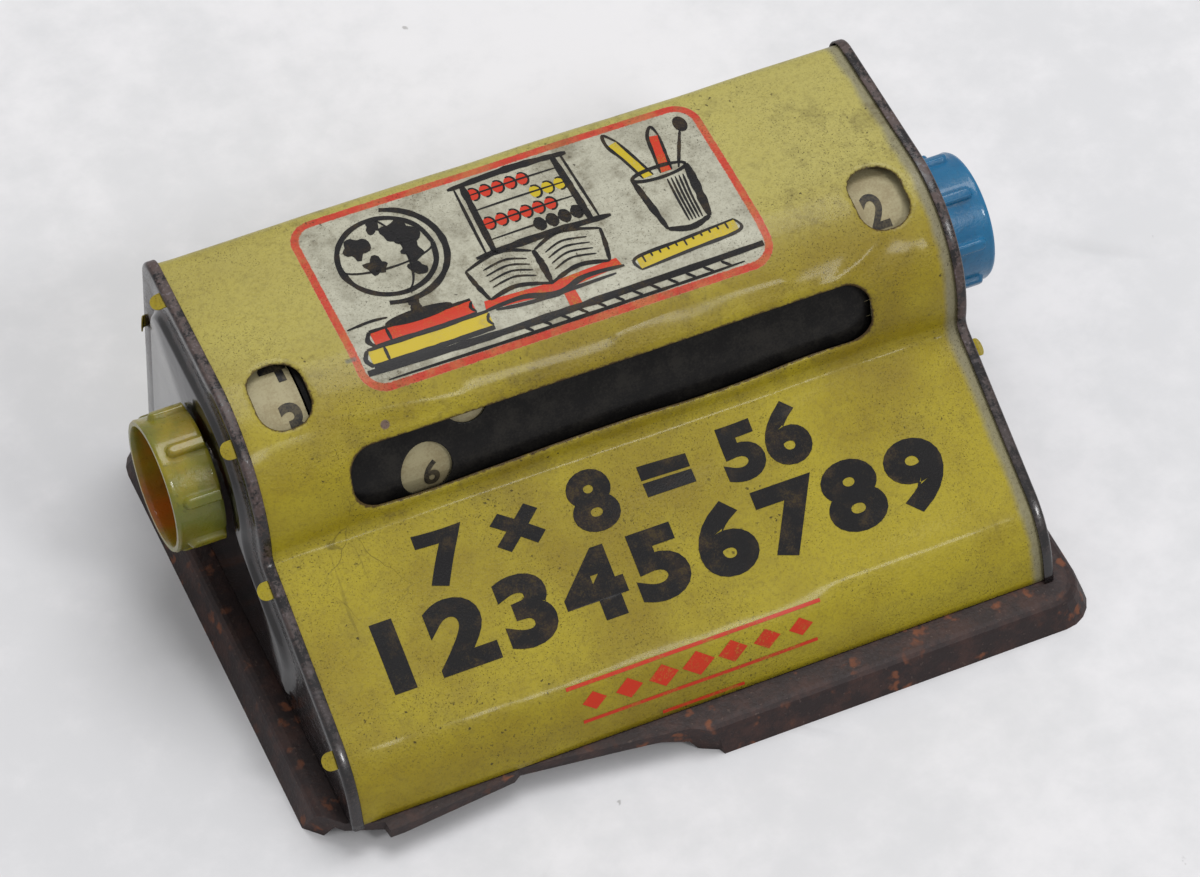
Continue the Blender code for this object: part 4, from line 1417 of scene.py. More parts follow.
@dataclass(frozen=True)
class Artwork:
    """The drawing of school things, the rows of figures and the red ornament."""

    printing: Printing
    rows: tuple[Row, ...] = (
        Row("7 × 8 = 56", (-0.0060, 0.0584), (0.0990, 0.0154), 0.050, 1.06),
        Row("123456789", (-0.0022, 0.0774), (0.1440, 0.0184), 0.052, 1.22),
    )
    rules: tuple[Flat, ...] = ((0.0970, 0.0325), (0.1062, 0.0300), (0.1112, 0.0105))
    rule_half: float = 0.00045
    ornament_across: float = -0.0015
    lozenge_along: float = 0.1016
    lozenge_pitch: float = 0.0088
    lozenge_size: float = 0.0036
    lozenge_step: float = 0.0003

    def figures(self) -> None:
        """Print the rows of black figures on the front panel."""
        for row in self.rows:
            form = Workshop.lettering(row.body, row.size[1], row.weight, row.gap)
            wide = max(vert.co.x for vert in form.verts) - min(vert.co.x for vert in form.verts)
            tall = max(vert.co.y for vert in form.verts) - min(vert.co.y for vert in form.verts)
            bmesh.ops.scale(form, vec=(row.size[0] / wide, row.size[1] / tall, 1.0), verts=form.verts)
            self.printing.add(Ink.BLACK, form, row.middle)

    def ornament(self) -> None:
        """Print the red ornament on the lip: two rules with a row of lozenges between them."""
        for along, half in self.rules:
            form = bmesh.new()
            bmesh.ops.create_grid(form, x_segments=8, y_segments=1, size=1.0)
            bmesh.ops.scale(form, vec=(half, self.rule_half, 1.0), verts=form.verts)
            self.printing.add(Ink.RED, form, (self.ornament_across, along))
        for number in range(-3, 4):
            form = bmesh.new()
            size = self.lozenge_size - self.lozenge_step * abs(number)
            bmesh.ops.create_circle(form, cap_ends=True, segments=4, radius=size)
            bmesh.ops.scale(form, vec=(1.15, 0.85, 1.0), verts=form.verts)
            across = self.ornament_across + number * self.lozenge_pitch
            self.printing.add(Ink.RED, form, (across, self.lozenge_along))

    @staticmethod
    def book(pen: Pen) -> None:
        """Draw an open book on its red cover.

        Args:
            pen: The pen at its place.
        """
        pen.fill(Ink.RED, [(-17.6, -1.6), (0.0, -3.0), (17.6, -1.6), (17.0, 1.0), (0.0, 0.2), (-17.0, 1.0)])
        for side in (-1, 1):
            pen.line([(0, 0), (side * 8, 2.4), (side * 15.4, 0.8)], 1.3)
            pen.line([(side * 15.4, 0.8), (side * 16.6, 6), (side * 17.4, 11)], 1.2)
            pen.line([(side * 0.4, 11), (side * 8, 13.8), (side * 17.4, 11)], 1.1)
            for line in range(4):
                level = 4.2 + line * 1.9
                text = [(side * 2.4, level - 0.7), (side * 7.4, level + 1.0), (side * 13.4, level - 0.1)]
                pen.line(text, 0.62)
        pen.line([(0, -0.4), (0.2, 6), (0, 11)], 1.7)
        pen.line([(-18, -1.7), (-8, -1.2), (0, -3.2), (8, -1.2), (18, -1.7)], 1.5)
        pen.fill(Ink.RED, [(1.4, -2.4), (4.2, -2.2), (4.8, -8.6), (1.6, -8.4)])

    @staticmethod
    def globe(pen: Pen) -> None:
        """Draw a globe on a stand.

        Args:
            pen: The pen at its place.
        """
        lands = (((-5.6, 4.4), 3.4), ((-3.2, -2.0), 2.6), ((4.4, 4.6), 3.8), ((6.0, -0.6), 2.6))
        for middle, size in (*lands, ((4.6, -6.0), 2.0), ((0.6, 8.6), 1.6)):
            pen.oval(Ink.BLACK, middle, (size, size), 0.7)
        pen.ring((0, 0), (11, 11), 1.3)
        pen.ring((0, 0), (11, 3.4), 0.55, 180, 360)
        pen.ring((0, 0), (4.4, 11), 0.5, -90, 90)
        pen.ring((0, 0), (13.4, 13.4), 1.5, -110, 75)
        pen.line([(0, -13.0), (0.4, -15.0), (0, -17.0)], 2.4, taper=0.9)
        pen.oval(Ink.BLACK, (0, -18.0), (8.0, 1.7))

    @staticmethod
    def counting_frame(pen: Pen) -> None:
        """Draw a counting frame with its beads.

        Args:
            pen: The pen at its place.
        """
        for row, (count, ink) in enumerate(((5, Ink.RED), (3, Ink.YELLOW), (6, Ink.RED), (4, Ink.BLACK))):
            level = 9.4 - row * 5.0
            pen.line([(-12.5, level), (0, level + 0.2), (12.5, level)], 0.6)
            start = -10.6 if row % 2 == 0 else 10.6 - (count - 1) * 3.3
            for bead in range(count):
                middle = (start + bead * 3.3, level)
                pen.oval(ink, middle, (1.5, 2.0))
                pen.ring(middle, (1.5, 2.0), 0.55, -110, 110)
        for side in (-1, 1):
            pen.line([(side * 13, -9.5), (side * 12.6, 2), (side * 12.2, 13)], 1.9, taper=0.7)
            pen.line([(side * 15.2, -9.5), (side * 14.8, 2), (side * 14.4, 13)], 0.8)
        pen.line([(-16, 13), (0, 13.8), (16, 13)], 2.0)
        pen.line([(-18, -9.8), (0, -9.2), (18, -9.8)], 2.2)

    @staticmethod
    def pot(pen: Pen) -> None:
        """Draw a pot with a pencil, a crayon and a brush.

        Args:
            pen: The pen at its place.
        """
        pen.fill(Ink.YELLOW, [(-3.8, 6.6), (-1.4, 6.8), (-4.8, 18.2), (-7.2, 17.6)])
        pen.fill(Ink.RED, [(0.2, 6.6), (2.8, 6.6), (4.2, 16.4), (1.8, 16.8)])
        pen.line([(-3.8, 6.6), (-5.6, 13), (-7.2, 17.6), (-6.8, 20.8), (-4.8, 18.2)], 0.8)
        pen.line([(-1.4, 6.8), (-3.2, 13), (-4.8, 18.2)], 0.7)
        pen.line([(0.2, 6.6), (1.0, 12), (1.8, 16.8), (3.6, 19.2), (4.2, 16.4)], 0.8)
        pen.line([(2.8, 6.6), (3.6, 12), (4.2, 16.4)], 0.7)
        pen.line([(4.4, 6.6), (7.0, 12), (9.0, 16)], 0.8)
        pen.oval(Ink.BLACK, (9.8, 17.6), (1.5, 2.2))
        pen.line([(-6.2, 7), (-5.6, 0), (-4.8, -8)], 1.5)
        pen.line([(6.2, 7), (5.6, 0), (4.8, -8)], 2.0)
        pen.ring((0, 7), (6.2, 1.5), 0.9)
        pen.line([(-4.8, -8), (0, -9.4), (4.8, -8)], 1.6)
        for step in range(5):
            pen.line([(0.8 + step * 0.9, 4.6), (0.5 + step * 0.8, -1), (0.3 + step * 0.75, -7.6)], 0.55)

    @staticmethod
    def closed_books(pen: Pen) -> None:
        """Draw two closed books, one on the other.

        Args:
            pen: The pen at its place.
        """
        for level, half, ink in ((0.0, 15.0, Ink.YELLOW), (4.6, 12.6, Ink.RED)):
            pen.fill(ink, [(-half, level), (half, level), (half, level + 4.2), (-half, level + 4.2)])
            pen.line([(-half, level), (0, level - 0.2), (half, level)], 1.3, taper=0.8)
            pen.line([(half, level + 4.4), (0, level + 4.2), (-half, level + 4.4)], 1.0, taper=0.8)
            pen.line([(-half, level), (-half - 1.2, level + 2.1), (-half, level + 4.4)], 1.2)
            pen.line([(half, level + 0.6), (half - 0.8, level + 2.1), (half, level + 3.8)], 0.8)
            pen.line([(-half + 4, level + 0.4), (-half + 4, level + 4.0)], 0.8)

    @staticmethod
    def desk(pen: Pen) -> None:
        """Draw the desk's edge, the shade under the things and a ruler.

        Args:
            pen: The pen at its place.
        """
        pen.fill(Ink.YELLOW, [(20, -17.4), (46, -15.4), (46, -12.0), (20, -14.0)])
        pen.line([(20, -17.4), (33, -16.4), (46, -15.4), (46, -12.0)], 0.9)
        pen.line([(46, -12.0), (33, -13.0), (20, -14.0), (20, -17.4)], 0.9)
        for mark in range(11):
            start = 21.6 + mark * 2.2
            level = -14.0 + (start - 20) * 0.077
            pen.line([(start, level), (start + 0.1, level - (2.0 if mark % 5 == 0 else 1.2))], 0.5)
        pen.line([(-50, -20.6), (-20, -21.2), (10, -21.0), (50, -20.4)], 1.7, taper=0.8)
        pen.line([(-46, -23.4), (-12, -23.6), (20, -23.5), (44, -23.2)], 0.9)
        for step in range(12):
            start = -12 + step * 4.6
            pen.line([(start, -21.4), (start + 2.2, -23.2)], 0.7)
        pen.line([(-16, -15.4), (-6, -16.4), (14, -16.2)], 1.1)
        pen.line([(-50, -8.0), (-44, -7.6), (-40, -8.0)], 0.8)

    def draw(self) -> None:
        """Print everything."""
        self.figures()
        self.ornament()
        self.desk(Pen(self.printing, 0.0, 0.0))
        self.closed_books(Pen(self.printing, -33.0, -19.4))
        self.globe(Pen(self.printing, -33.0, 9.0, 1.05))
        self.counting_frame(Pen(self.printing, 3.0, 9.6, 0.95))
        self.book(Pen(self.printing, -1.0, -13.2, 0.98))
        self.pot(Pen(self.printing, 36.0, 0.0, 1.12))


@dataclass
class EndPlate:
    """A pressed end plate: a rim that laps over the cover, a flat ledge, and a raised field."""

    strip: Strip
    side: Side
    inner: float = 0.0875
    face: float = 0.0903
    field: float = 0.0918
    sheet: float = 0.0006
    stand_off: float = 0.0010
    margin: float = 0.0062
    bevel: float = 0.0019
    bush_hole: float = 0.0048
    rim_round: float = 0.0009
    flare: float = 0.00012
    field_foot: float = 0.0055
    back_bend: float = 0.0090
    front_bend: float = 0.0095
    front_reach: float = 0.0440
    bead: tuple[Flat, ...] = ((0.00005, -0.0022), (0.00035, -0.0012), (0.00025, -0.0004))

    def outline(self, offset: float) -> list[Flat]:
        """Return the case's section, moved out by an offset, from the back foot to the front foot.

        Args:
            offset: How far out.

        Returns:
            The outline's points, as (y, z).
        """
        foot = self.strip.foot
        points = []
        for along in self.strip.rows():
            spot, normal = self.strip.frame(along)
            points.append(tuple(spot + normal * offset))
        points[0] = (points[0][0], foot)
        points[-1] = (points[-1][0] - (points[-1][1] - foot) / math.tan(self.strip.lip_slope), foot)
        return points

    def field_outline(self, inset: float) -> list[Flat]:
        """Return the raised field's outline, drawn in further by an inset.

        Args:
            inset: How much further in.

        Returns:
            As many points as the case's section has, as (y, z).
        """
        strip = self.strip
        deep = self.margin + inset
        foot = strip.foot + self.field_foot + inset
        bend = self.back_bend - inset
        front_bend = self.front_bend - inset
        points = []
        lean = strip.lean
        back = strip.back_foot + strip.ray(lean) * -deep
        top = strip.axis.y + strip.shoulder - deep
        centre = Vector((0.0, top - bend))
        centre.x = back.x - (centre.y - back.y) * math.tan(lean) - bend / math.cos(lean)
        end = strip.axis + strip.normal * (strip.offset - deep) + strip.down * (self.front_reach - inset)
        front = end - strip.normal * front_bend
        for along in strip.rows():
            if along <= strip.bend_start:
                share = (along - strip.back_start) / (strip.bend_start - strip.back_start)
                low = Vector((back.x - (foot - back.y) * math.tan(lean), foot))
                high = centre + strip.ray(lean) * bend
                points.append(tuple(low.lerp(high, share)))
            elif along <= strip.top_back:
                share = (along - strip.bend_start) / (strip.top_back - strip.bend_start)
                points.append(tuple(centre + strip.ray(lean + (math.pi / 2 - lean) * share) * bend))
            elif along < 0.0:
                share = 1.0 - along / strip.top_back
                points.append((centre.x + (strip.axis.x - centre.x) * share, top))
            elif along <= strip.panel_start:
                spot, normal = strip.frame(along)
                points.append(tuple(spot - normal * deep))
            elif along <= strip.panel_stop:
                share = (along - strip.panel_start) / (strip.panel_stop - strip.panel_start)
                start = strip.axis + strip.normal * (strip.offset - deep) + strip.down * strip.valley_reach
                points.append(tuple(start.lerp(end, share)))
            elif along <= strip.lip_stop:
                share = (along - strip.panel_stop) / (strip.lip_stop - strip.panel_stop)
                angle = math.pi / 2 + strip.slope + (math.pi / 2 - strip.slope) * share
                points.append(tuple(front + strip.ray(angle) * front_bend))
            else:
                share = (along - strip.lip_stop) / (strip.stop - strip.lip_stop)
                high = front + strip.ray(math.pi) * front_bend
                points.append((high.x, high.y + (foot - high.y) * share))
        return points

    def loops(self) -> list[tuple[float, list[Flat]]]:
        """Return the plate's outlines, from the rim's end to the field.

        Returns:
            Each outline's place along X, and its points.
        """
        steps = [(self.inner, self.outline(self.stand_off - self.flare))]
        steps.append((self.inner + 0.0002, self.outline(self.stand_off)))
        for number in range(6):
            turn = math.pi / 2 * number / 5
            out = self.stand_off - self.rim_round * (1.0 - math.cos(turn))
            steps.append((self.face - self.rim_round * (1.0 - math.sin(turn)), self.outline(out)))
        steps += [(self.face - depth, self.field_outline(inset)) for depth, inset in self.bead]
        for number in range(6):
            share = number / 5
            rise = 0.5 - 0.5 * math.cos(math.pi * share)
            level = self.face + (self.field - self.face) * rise
            steps.append((level, self.field_outline(self.bevel * share)))
        return steps

    def make(self, finish: bpy.types.Material) -> bpy.types.Object:
        """Press the plate from its outlines and punch its bush hole.

        Args:
            finish: Its material.

        Returns:
            The plate.
        """
        form = bmesh.new()
        before = []
        for place, outline in self.loops():
            disc = bmesh.ops.create_circle(form, cap_ends=False, segments=len(outline), radius=1.0)
            for vert, (y, z) in zip(disc["verts"], outline):
                vert.co = Vector((self.side.value * place, y, z))
            edges = list({edge for vert in disc["verts"] for edge in vert.link_edges})
            if before:
                bmesh.ops.bridge_loops(form, edges=before + edges)
            before = edges
        bmesh.ops.contextual_create(form, geom=before)
        bottom = [face for face in form.faces if all(v.co.z < self.strip.foot + 1e-5 for v in face.verts)]
        bmesh.ops.delete(form, geom=bottom, context="FACES")
        turns = [math.tau * step / 32 for step in range(32)]
        hole = [tuple(self.strip.axis + self.strip.ray(turn) * self.bush_hole) for turn in turns]
        Workshop.punch(form, hole, Vector((0.0, 1.0, 0.0)), Vector((0.0, 0.0, 1.0)))
        bmesh.ops.recalc_face_normals(form, faces=form.faces[:])
        widest = max(form.faces, key=lambda face: face.calc_area())
        if widest.normal.x * self.side.value < 0.0:
            bmesh.ops.reverse_faces(form, faces=form.faces[:])
        made = Workshop.piece(self.side.name.lower() + "_plate", form, finish, 50.0)
        Workshop.wall(made, self.sheet)
        return made


@dataclass
class Knob:
    """A ribbed, open knob with a hub inside."""

    side: Side
    axis: Vector
    back: float = 0.0930
    front: float = 0.1050
    radius: float = 0.0160
    wall: float = 0.0016
    floor: float = 0.0025
    hub: float = 0.0051
    hub_height: float = 0.0050
    hub_fillet: float = 0.0008
    cup_fillet: float = 0.0012
    front_round: float = 0.0006
    back_round: float = 0.0008
    lip: float = 0.0001
    lip_width: float = 0.0012
    rows: int = 26
    bore: dict[Side, float] = field(default_factory=lambda: {Side.LEFT: 0.0023, Side.RIGHT: 0.0041})
    ribs: int = 8
    rib_half: float = 0.0014
    rib_proud: float = 0.0015
    rib_length: float = 0.0110
    rib_start: float = 0.0016
    phase: dict[Side, float] = field(default_factory=lambda: {Side.LEFT: 13.5, Side.RIGHT: 19.0})
    steps: int = 400

    def profile(self) -> list[Flat]:
        """Return the knob's section, from its hub's bore out over the front to its back.

        Returns:
            The section's points, as the place along X and the radius.
        """
        inside = self.radius - self.wall
        bore = self.bore[self.side]
        floor = self.back + self.floor
        top = floor + self.hub_height
        points = [(self.back, bore), (top, bore), (top, self.hub), (floor + self.hub_fillet, self.hub)]
        points += [(floor, self.hub + self.hub_fillet), (floor, inside - self.cup_fillet)]
        points += [(floor + 0.0004, inside - 0.0004), (floor + self.cup_fillet, inside)]
        run = self.front - self.front_round - floor - self.cup_fillet
        points += [(floor + self.cup_fillet + run * number / 6, inside) for number in range(1, 7)]
        rim = self.radius + self.lip
        middle = (inside + rim) / 2
        points += [(self.front, middle + (rim - inside) / 2 * math.sin(t)) for t in (-0.7, 0.0, 0.7)]
        outer_start = self.front - self.lip_width
        points += [(self.front - 0.0004, rim - 0.0001), (outer_start + self.front_round, rim)]
        for number in range(self.rows + 1):
            place = outer_start + (self.back + self.back_round - outer_start) * number / self.rows
            points.append((place, self.radius))
        points += [(self.back + 0.0002, self.radius - 0.0003), (self.back, self.radius - 0.0009)]
        return points

    def make(self, finish: bpy.types.Material) -> bpy.types.Object:
        """Turn the knob, then raise its ribs.

        Args:
            finish: Its material.

        Returns:
            The knob.
        """
        profile = [(self.side.value * place, radius) for place, radius in self.profile()]
        profile.append(profile[0])
        form = Workshop.turned(profile, self.steps, self.axis)
        middle = self.back - self.rib_start + self.rib_length / 2
        pitch = 360.0 / self.ribs
        for vert in form.verts:
            arm = Vector((vert.co.y - self.axis.y, vert.co.z - self.axis.z))
            if arm.length < self.radius - 0.0002:
                continue
            angle = math.degrees(math.atan2(arm.y, arm.x))
            off = (angle - self.phase[self.side] + pitch / 2) % pitch - pitch / 2
            across = math.radians(off) * self.radius
            along = max(0.0, abs(abs(vert.co.x) - middle) - (self.rib_length / 2 - self.rib_half))
            far = math.hypot(across, along) / self.rib_half
            height = self.rib_proud * max(0.0, 1.0 - far ** 6) ** 0.5 if far < 1.0 else 0.0
            flow = 0.00012 * max(0.0, 1.5 - far) / 0.5 if 1.0 <= far < 1.5 else 0.0
            arm = arm.normalized() * (arm.length + max(height, flow))
            vert.co.y, vert.co.z = self.axis.y + arm.x, self.axis.z + arm.y
        return Workshop.piece(self.side.name.lower() + "_finger_knob", form, finish, 40.0)


@dataclass
class Drums:
    """The rings and drums that turn inside, with their figures."""

    axis: Vector
    sleeve_radius: float = 0.0260
    drum_radius: float = 0.0250
    ring_radius: float = 0.0260
    sleeve_left: float = -0.0703
    sleeve_right: float = 0.0668
    steps: int = 10
    step_angle: float = 36.0
    hole_pitch: float = 0.0123
    hole_size: Flat = (0.0128, 0.0152)
    shown_hole: int = 2
    shown_place: float = -0.0473
    shown_angle: float = 165.2
    left_figure: int = 3
    left_angle: float = 120.5
    right_angle: float = 110.2
    product_angle: float = 170.6
    product_shift: float = 0.0014
    columns: int = 110
    segments: int = 160
    seam: float = 15.0
    sleeve_sheet: float = 0.0005
    left_place: float = -0.0743
    right_place: float = 0.0746
    left_height: float = 0.0102
    right_height: float = 0.0089
    product_height: float = 0.0068
    figure_lift: float = 0.00004

    def on_drum(self, across: float, angle: float, radius: float) -> Vector:
        """Return a point on a drum, at an angle in degrees from +Y towards +Z."""
        turn = math.radians(angle)
        return Vector((across, self.axis.y + radius * math.cos(turn), self.axis.z + radius * math.sin(turn)))

    def rolled(self, form: bmesh.types.BMesh, radius: float) -> None:
        """Roll a flat form onto a drum: its Y is the angle in degrees."""
        for vert in form.verts:
            vert.co = self.on_drum(vert.co.x, vert.co.y, radius)

    def sleeve(self, finish: bpy.types.Material) -> bpy.types.Object:
        """Punch the sleeve's ten holes and roll it up.

        Args:
            finish: Its material.

        Returns:
            The sleeve.
        """
        length = self.sleeve_right - self.sleeve_left
        lines = [self.sleeve_left + length * step / self.columns for step in range(self.columns + 1)]
        start = self.shown_angle - 5.5 * self.step_angle - 90.0
        degree = 1.0 / math.radians(1.0) / self.sleeve_radius
        turns = [start + 360.0 * step / self.segments for step in range(self.segments + 1)]
        form = Workshop.sheet(lines, [turn / degree for turn in turns])
        for number in range(1, self.steps + 1):
            place = self.shown_place + (number - self.shown_hole) * self.hole_pitch
            angle = self.shown_angle - (number - self.shown_hole) * self.step_angle
            while angle < start + self.seam:
                angle += 360.0
            while angle > start + 360.0 - self.seam:
                angle -= 360.0
            wide, tall = self.hole_size[0] / 2, self.hole_size[1] / 2
            turns = [math.tau * step / 36 for step in range(36)]
            outline = [(place + wide * math.cos(t), angle / degree + tall * math.sin(t)) for t in turns]
            Workshop.punch(form, outline, Vector((1.0, 0.0, 0.0)), Vector((0.0, 1.0, 0.0)))
        bmesh.ops.triangulate(form, faces=[face for face in form.faces if len(face.verts) > 4])
        for vert in form.verts:
            vert.co.y *= degree
        self.rolled(form, self.sleeve_radius)
        bmesh.ops.remove_doubles(form, verts=form.verts[:], dist=1e-6)
        bmesh.ops.recalc_face_normals(form, faces=form.faces[:])
        made = Workshop.piece("pierced_sleeve", form, finish, 50.0)
        Workshop.wall(made, self.sleeve_sheet)
        return made

    def figure(self, form: bmesh.types.BMesh, body: str, place: Flat, height: float, radius: float) -> None:
        """Add a number to a form, wrapped round a drum.

        Args:
            form: The form that collects the figures.
            body: The number.
            place: Its middle, as X and the angle in degrees.
            height: The figures' height.
            radius: The drum's radius.
        """
        flat = Workshop.lettering(body, height, 0.028 if len(body) == 1 else 0.016)
        wide = 0.66 if len(body) > 1 else 0.86
        bmesh.ops.scale(flat, vec=(wide, 1.0, 1.0), verts=flat.verts)
        Workshop.slice_up(flat, 0.0011, Vector((0.0, 1.0, 0.0)))
        for vert in flat.verts:
            angle = place[1] - math.degrees(vert.co.y / radius)
            vert.co = self.on_drum(place[0] + vert.co.x, angle, radius + self.figure_lift)
        Workshop.collect(form, flat)

    def outward(self, form: bmesh.types.BMesh) -> None:
        """Turn every face of a form away from the drum axis.

        Args:
            form: The form.
        """
        form.normal_update()
        for face in form.faces:
            arm = face.calc_center_median() - self.axis
            arm.x = 0.0
            if face.normal.dot(arm) < 0.0:
                face.normal_flip()

    def ring_figures(self, side: Side, finish: bpy.types.Material) -> bpy.types.Object:
        """Print the ten numbers on a ring.

        Args:
            side: Which ring.
            finish: The figures' material.

        Returns:
            The figures.
        """
        form = bmesh.new()
        for number in range(1, self.steps + 1):
            if side is Side.LEFT:
                place = (self.left_place, self.left_angle + (self.left_figure - number) * self.step_angle)
                self.figure(form, str(number), place, self.left_height, self.ring_radius)
            else:
                place = (self.right_place, self.right_angle + (self.shown_hole - number) * self.step_angle)
                self.figure(form, str(number), place, self.right_height, self.ring_radius)
        self.outward(form)
        return Workshop.piece(side.name.lower() + "_ring_figures", form, finish)

    def products(self, finish: bpy.types.Material) -> bpy.types.Object:
        """Print the table of products on the inner drum.

        Args:
            finish: The figures' material.

        Returns:
            The figures.
        """
        form = bmesh.new()
        for first in range(1, self.steps + 1):
            for second in range(1, self.steps + 1):
                across = self.shown_place + (second - self.shown_hole) * self.hole_pitch + self.product_shift
                angle = self.product_angle + (self.left_figure - first) * self.step_angle
                product = str(first * second)
                self.figure(form, product, (across, angle), self.product_height, self.drum_radius)
        self.outward(form)
        return Workshop.piece("product_figures", form, finish)


@dataclass(frozen=True)
class Lamp:
    """A square soft lamp: its place, the length of its side and its power in watts."""

    name: str
    place: tuple[float, float, float]
    size: float
    power: float


@dataclass(frozen=True)
class Studio:
    """The floor, the soft lamps, the world and the camera."""

    aim: tuple[float, float, float] = (0.000765, 0.005422, 0.0300)
    azimuth: float = -0.463242
    elevation: float = 0.908722
    roll: float = 0.046373
    distance: float = 1.140408
    lens: float = 144.475
    sensor: float = 36.0
    lamps: tuple[Lamp, ...] = (
        Lamp("key", (0.83, -1.85, 2.12), 0.44, 18.0), Lamp("ceiling", (0.28, 0.34, 1.6), 0.85, 14.0),
    )
    room: tuple[float, float, float, float] = (0.995, 0.995, 1.0, 1.0)
    room_light: float = 0.56
    floor_half: float = 1.6

    def camera(self) -> None:
        """Set the camera where the photograph was taken from."""
        back = Vector((math.sin(self.azimuth), -math.cos(self.azimuth), math.tan(self.elevation)))
        back.normalize()
        right = (-back).cross(Vector((0.0, 0.0, 1.0))).normalized()
        up = right.cross(-back)
        turn_right = right * math.cos(self.roll) + up * math.sin(self.roll)
        turn_up = up * math.cos(self.roll) - right * math.sin(self.roll)
        lens = bpy.data.cameras.new("camera")
        lens.lens = self.lens
        lens.sensor_width = self.sensor
        lens.clip_end = 20.0
        holder = bpy.data.objects.new("camera", lens)
        frame = Matrix((turn_right, turn_up, back)).transposed().to_4x4()
        holder.matrix_world = Matrix.Translation(Vector(self.aim) + back * self.distance) @ frame
        bpy.context.scene.collection.objects.link(holder)
        bpy.context.scene.camera = holder

    def hang(self, lamp: Lamp) -> None:
        """Hang a lamp that looks at the calculator.

        Args:
            lamp: The lamp.
        """
        light = bpy.data.lights.new(lamp.name, "AREA")
        light.size = lamp.size
        light.energy = lamp.power
        holder = bpy.data.objects.new(lamp.name, light)
        holder.location = lamp.place
        away = Vector(lamp.place) - Vector(self.aim)
        holder.rotation_euler = away.to_track_quat("Z", "Y").to_euler()
        bpy.context.scene.collection.objects.link(holder)

    def world(self) -> None:
        """Light the room evenly and show it white to the camera."""
        world = bpy.data.worlds.new("room")
        world.use_nodes = True
        bpy.context.scene.world = world
        shade = world.node_tree.nodes["Background"]
        shade.inputs["Color"].default_value = self.room
        shade.inputs["Strength"].default_value = self.room_light

    def floor(self) -> bpy.types.Object:
        """Lay the pale sheet that the calculator stands on.

        Returns:
            The sheet.
        """
        form = bmesh.new()
        bmesh.ops.create_grid(form, x_segments=4, y_segments=4, size=self.floor_half)
        paint = Paint("floor_sheet")
        place = paint.place()
        warped = paint.warped(place, 6.0, 0.06)
        folds = paint.cloud(paint.stretch(warped, (1.0, 0.35, 1.0), 0.5), 9.0, 3.0, 0.5)
        mottle = paint.cloud(place, 70.0, 5.0, 0.65)
        # The folds darken the sheet in broad bands: partly painted shade of its folds, partly its own mottled
        # tone.
        uneven = (folds * 0.6 + mottle * 0.4).rise(0.40, 0.62)
        colour = paint.mix(uneven, tint(210, 210, 212), tint(222, 221, 223))
        # Crease lines painted darker: painted shade along the sheet's folds.
        creases = paint.edges(warped, 7.0).rise(0.012, 0.002) * paint.cloud(place, 11.0, 2.0).rise(0.5, 0.62)
        colour = paint.mix(creases * 0.3, colour, tint(176, 176, 178))
        dirt = paint.cells(paint.warped(place, 500.0, 0.003), 34.0).rise(0.035, 0.015)
        colour = paint.mix(dirt * 0.5, colour, tint(120, 116, 112))
        normal = paint.bump(creases, 0.0004, paint.bump(folds, 0.002))
        material = paint.dress(Base_Color=colour, Roughness=0.7, Normal=normal, Specular_IOR_Level=0.2)
        return Workshop.piece("floor", form, material)

    def build(self) -> None:
        """Build the studio."""
        self.camera()
        self.world()
        self.floor()
        for lamp in self.lamps:
            self.hang(lamp)
        bpy.context.scene.view_settings.view_transform = "Standard"


def carry_over(nodes: dict[str, bpy.types.Object], names: Iterable[str], finish: bpy.types.Material) -> None:
    """Give solids that stay as they are a finish.

    Args:
        nodes: The solids by name.
        names: Which of them.
        finish: Their material.
    """
    for name in names:
        mesh = nodes[name].data
        mesh.materials.clear()
        mesh.materials.append(finish)


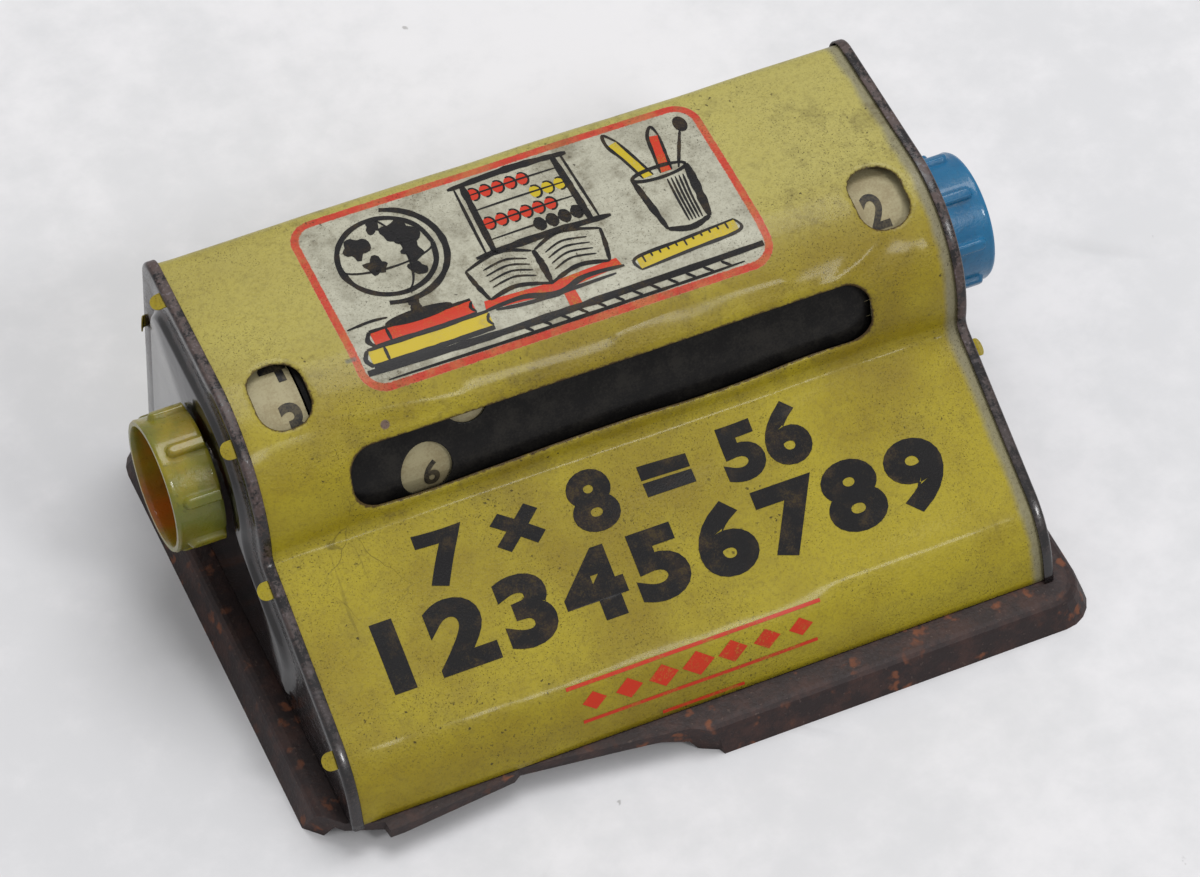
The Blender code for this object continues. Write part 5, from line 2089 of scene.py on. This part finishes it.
def main() -> None:
    """Build the calculator round its frame."""
    logging.basicConfig(level=logging.INFO, format="%(message)s")
    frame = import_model()
    nodes = frame["nodes"]
    Studio().build()

    strip = Strip()
    axis = Vector((0.0, strip.axis.x, strip.axis.y))
    cover = Cover(strip)
    tin = PrintedTin(cover).material()
    report(cover.make(tin), "case", "cover", "cover")
    report(cover.tabs(tin), "case", "cover")

    inks = {
        Ink.BLACK: PrintInk(Ink.BLACK, tint(24, 23, 24), tint(96, 84, 44), tint(56, 42, 32), 0.28),
        Ink.RED: PrintInk(Ink.RED, tint(186, 52, 32), tint(160, 138, 50), tint(150, 60, 34), 0.55),
        Ink.YELLOW: PrintInk(Ink.YELLOW, tint(184, 162, 34), tint(166, 160, 130), tint(150, 128, 44), 0.5),
    }
    printing = Printing(cover)
    Artwork(printing).draw()
    for made in printing.finish(lambda ink: inks[ink].material()):
        report(made, "case", "cover")

    lacquer = Lacquer("black_lacquer").material()
    for side in Side:
        node = side.name.lower() + "_end_plate"
        report(EndPlate(strip, side).make(lacquer), "case", node, node)

    olive, orange, murk = tint(88, 98, 40), tint(168, 88, 22), tint(58, 52, 22)
    yellow = MarbledPlastic("yellow_marbled", tint(136, 124, 24), olive, orange, murk, 0.75, 0.08)
    deep, pale, dust = tint(14, 80, 120), tint(48, 124, 158), tint(34, 66, 84)
    blue = MarbledPlastic("blue_plastic", tint(22, 100, 142), deep, pale, dust, 0.5, 0.06)
    for side, body, plastic in ((Side.LEFT, "left_set", yellow), (Side.RIGHT, "right_set", blue)):
        node = side.name.lower() + "_knob"
        report(Knob(side, axis).make(plastic.material()), body, node, node)

    drums = Drums(axis)
    black = PlainPaint("sleeve_black", tint(24, 23, 23), tint(62, 59, 54), 0.22, 0.3, shine=0.12).material()
    cream = PlainPaint("aged_cream", tint(160, 151, 118), tint(112, 92, 58), 0.5, 0.4, shine=0.3).material()
    numbers = PlainPaint("figure_ink", tint(26, 25, 28), tint(104, 94, 70), 0.45, 0.5, shine=0.25).material()
    steel = PlainPaint("dull_steel", tint(150, 146, 140), tint(96, 80, 66), 0.35, 0.4, 0.9).material()
    report(drums.sleeve(black), "right_set", "outer_sleeve", "outer_sleeve")
    report(drums.ring_figures(Side.LEFT, numbers), "left_set", "left_number_ring")
    report(drums.ring_figures(Side.RIGHT, numbers), "right_set", "right_number_ring")
    report(drums.products(numbers), "left_set", "inner_drum")

    rings = [f"{side.name.lower()}_number_ring" for side in Side]
    discs = [f"inner_drum_{side.name.lower()}_disc" for side in Side]
    rivets = [f"base_rivet_{number}" for number in range(1, 5)]
    carry_over(nodes, [*rings, "inner_drum", *discs], cream)
    carry_over(nodes, [f"sleeve_{side.name.lower()}_disc" for side in Side], black)
    carry_over(nodes, ["axle", "hollow_shaft", "left_bush", "right_bush", *rivets], steel)
    carry_over(nodes, ["base"], Moulding().material())

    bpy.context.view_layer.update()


if __name__ == "__main__":
    main()
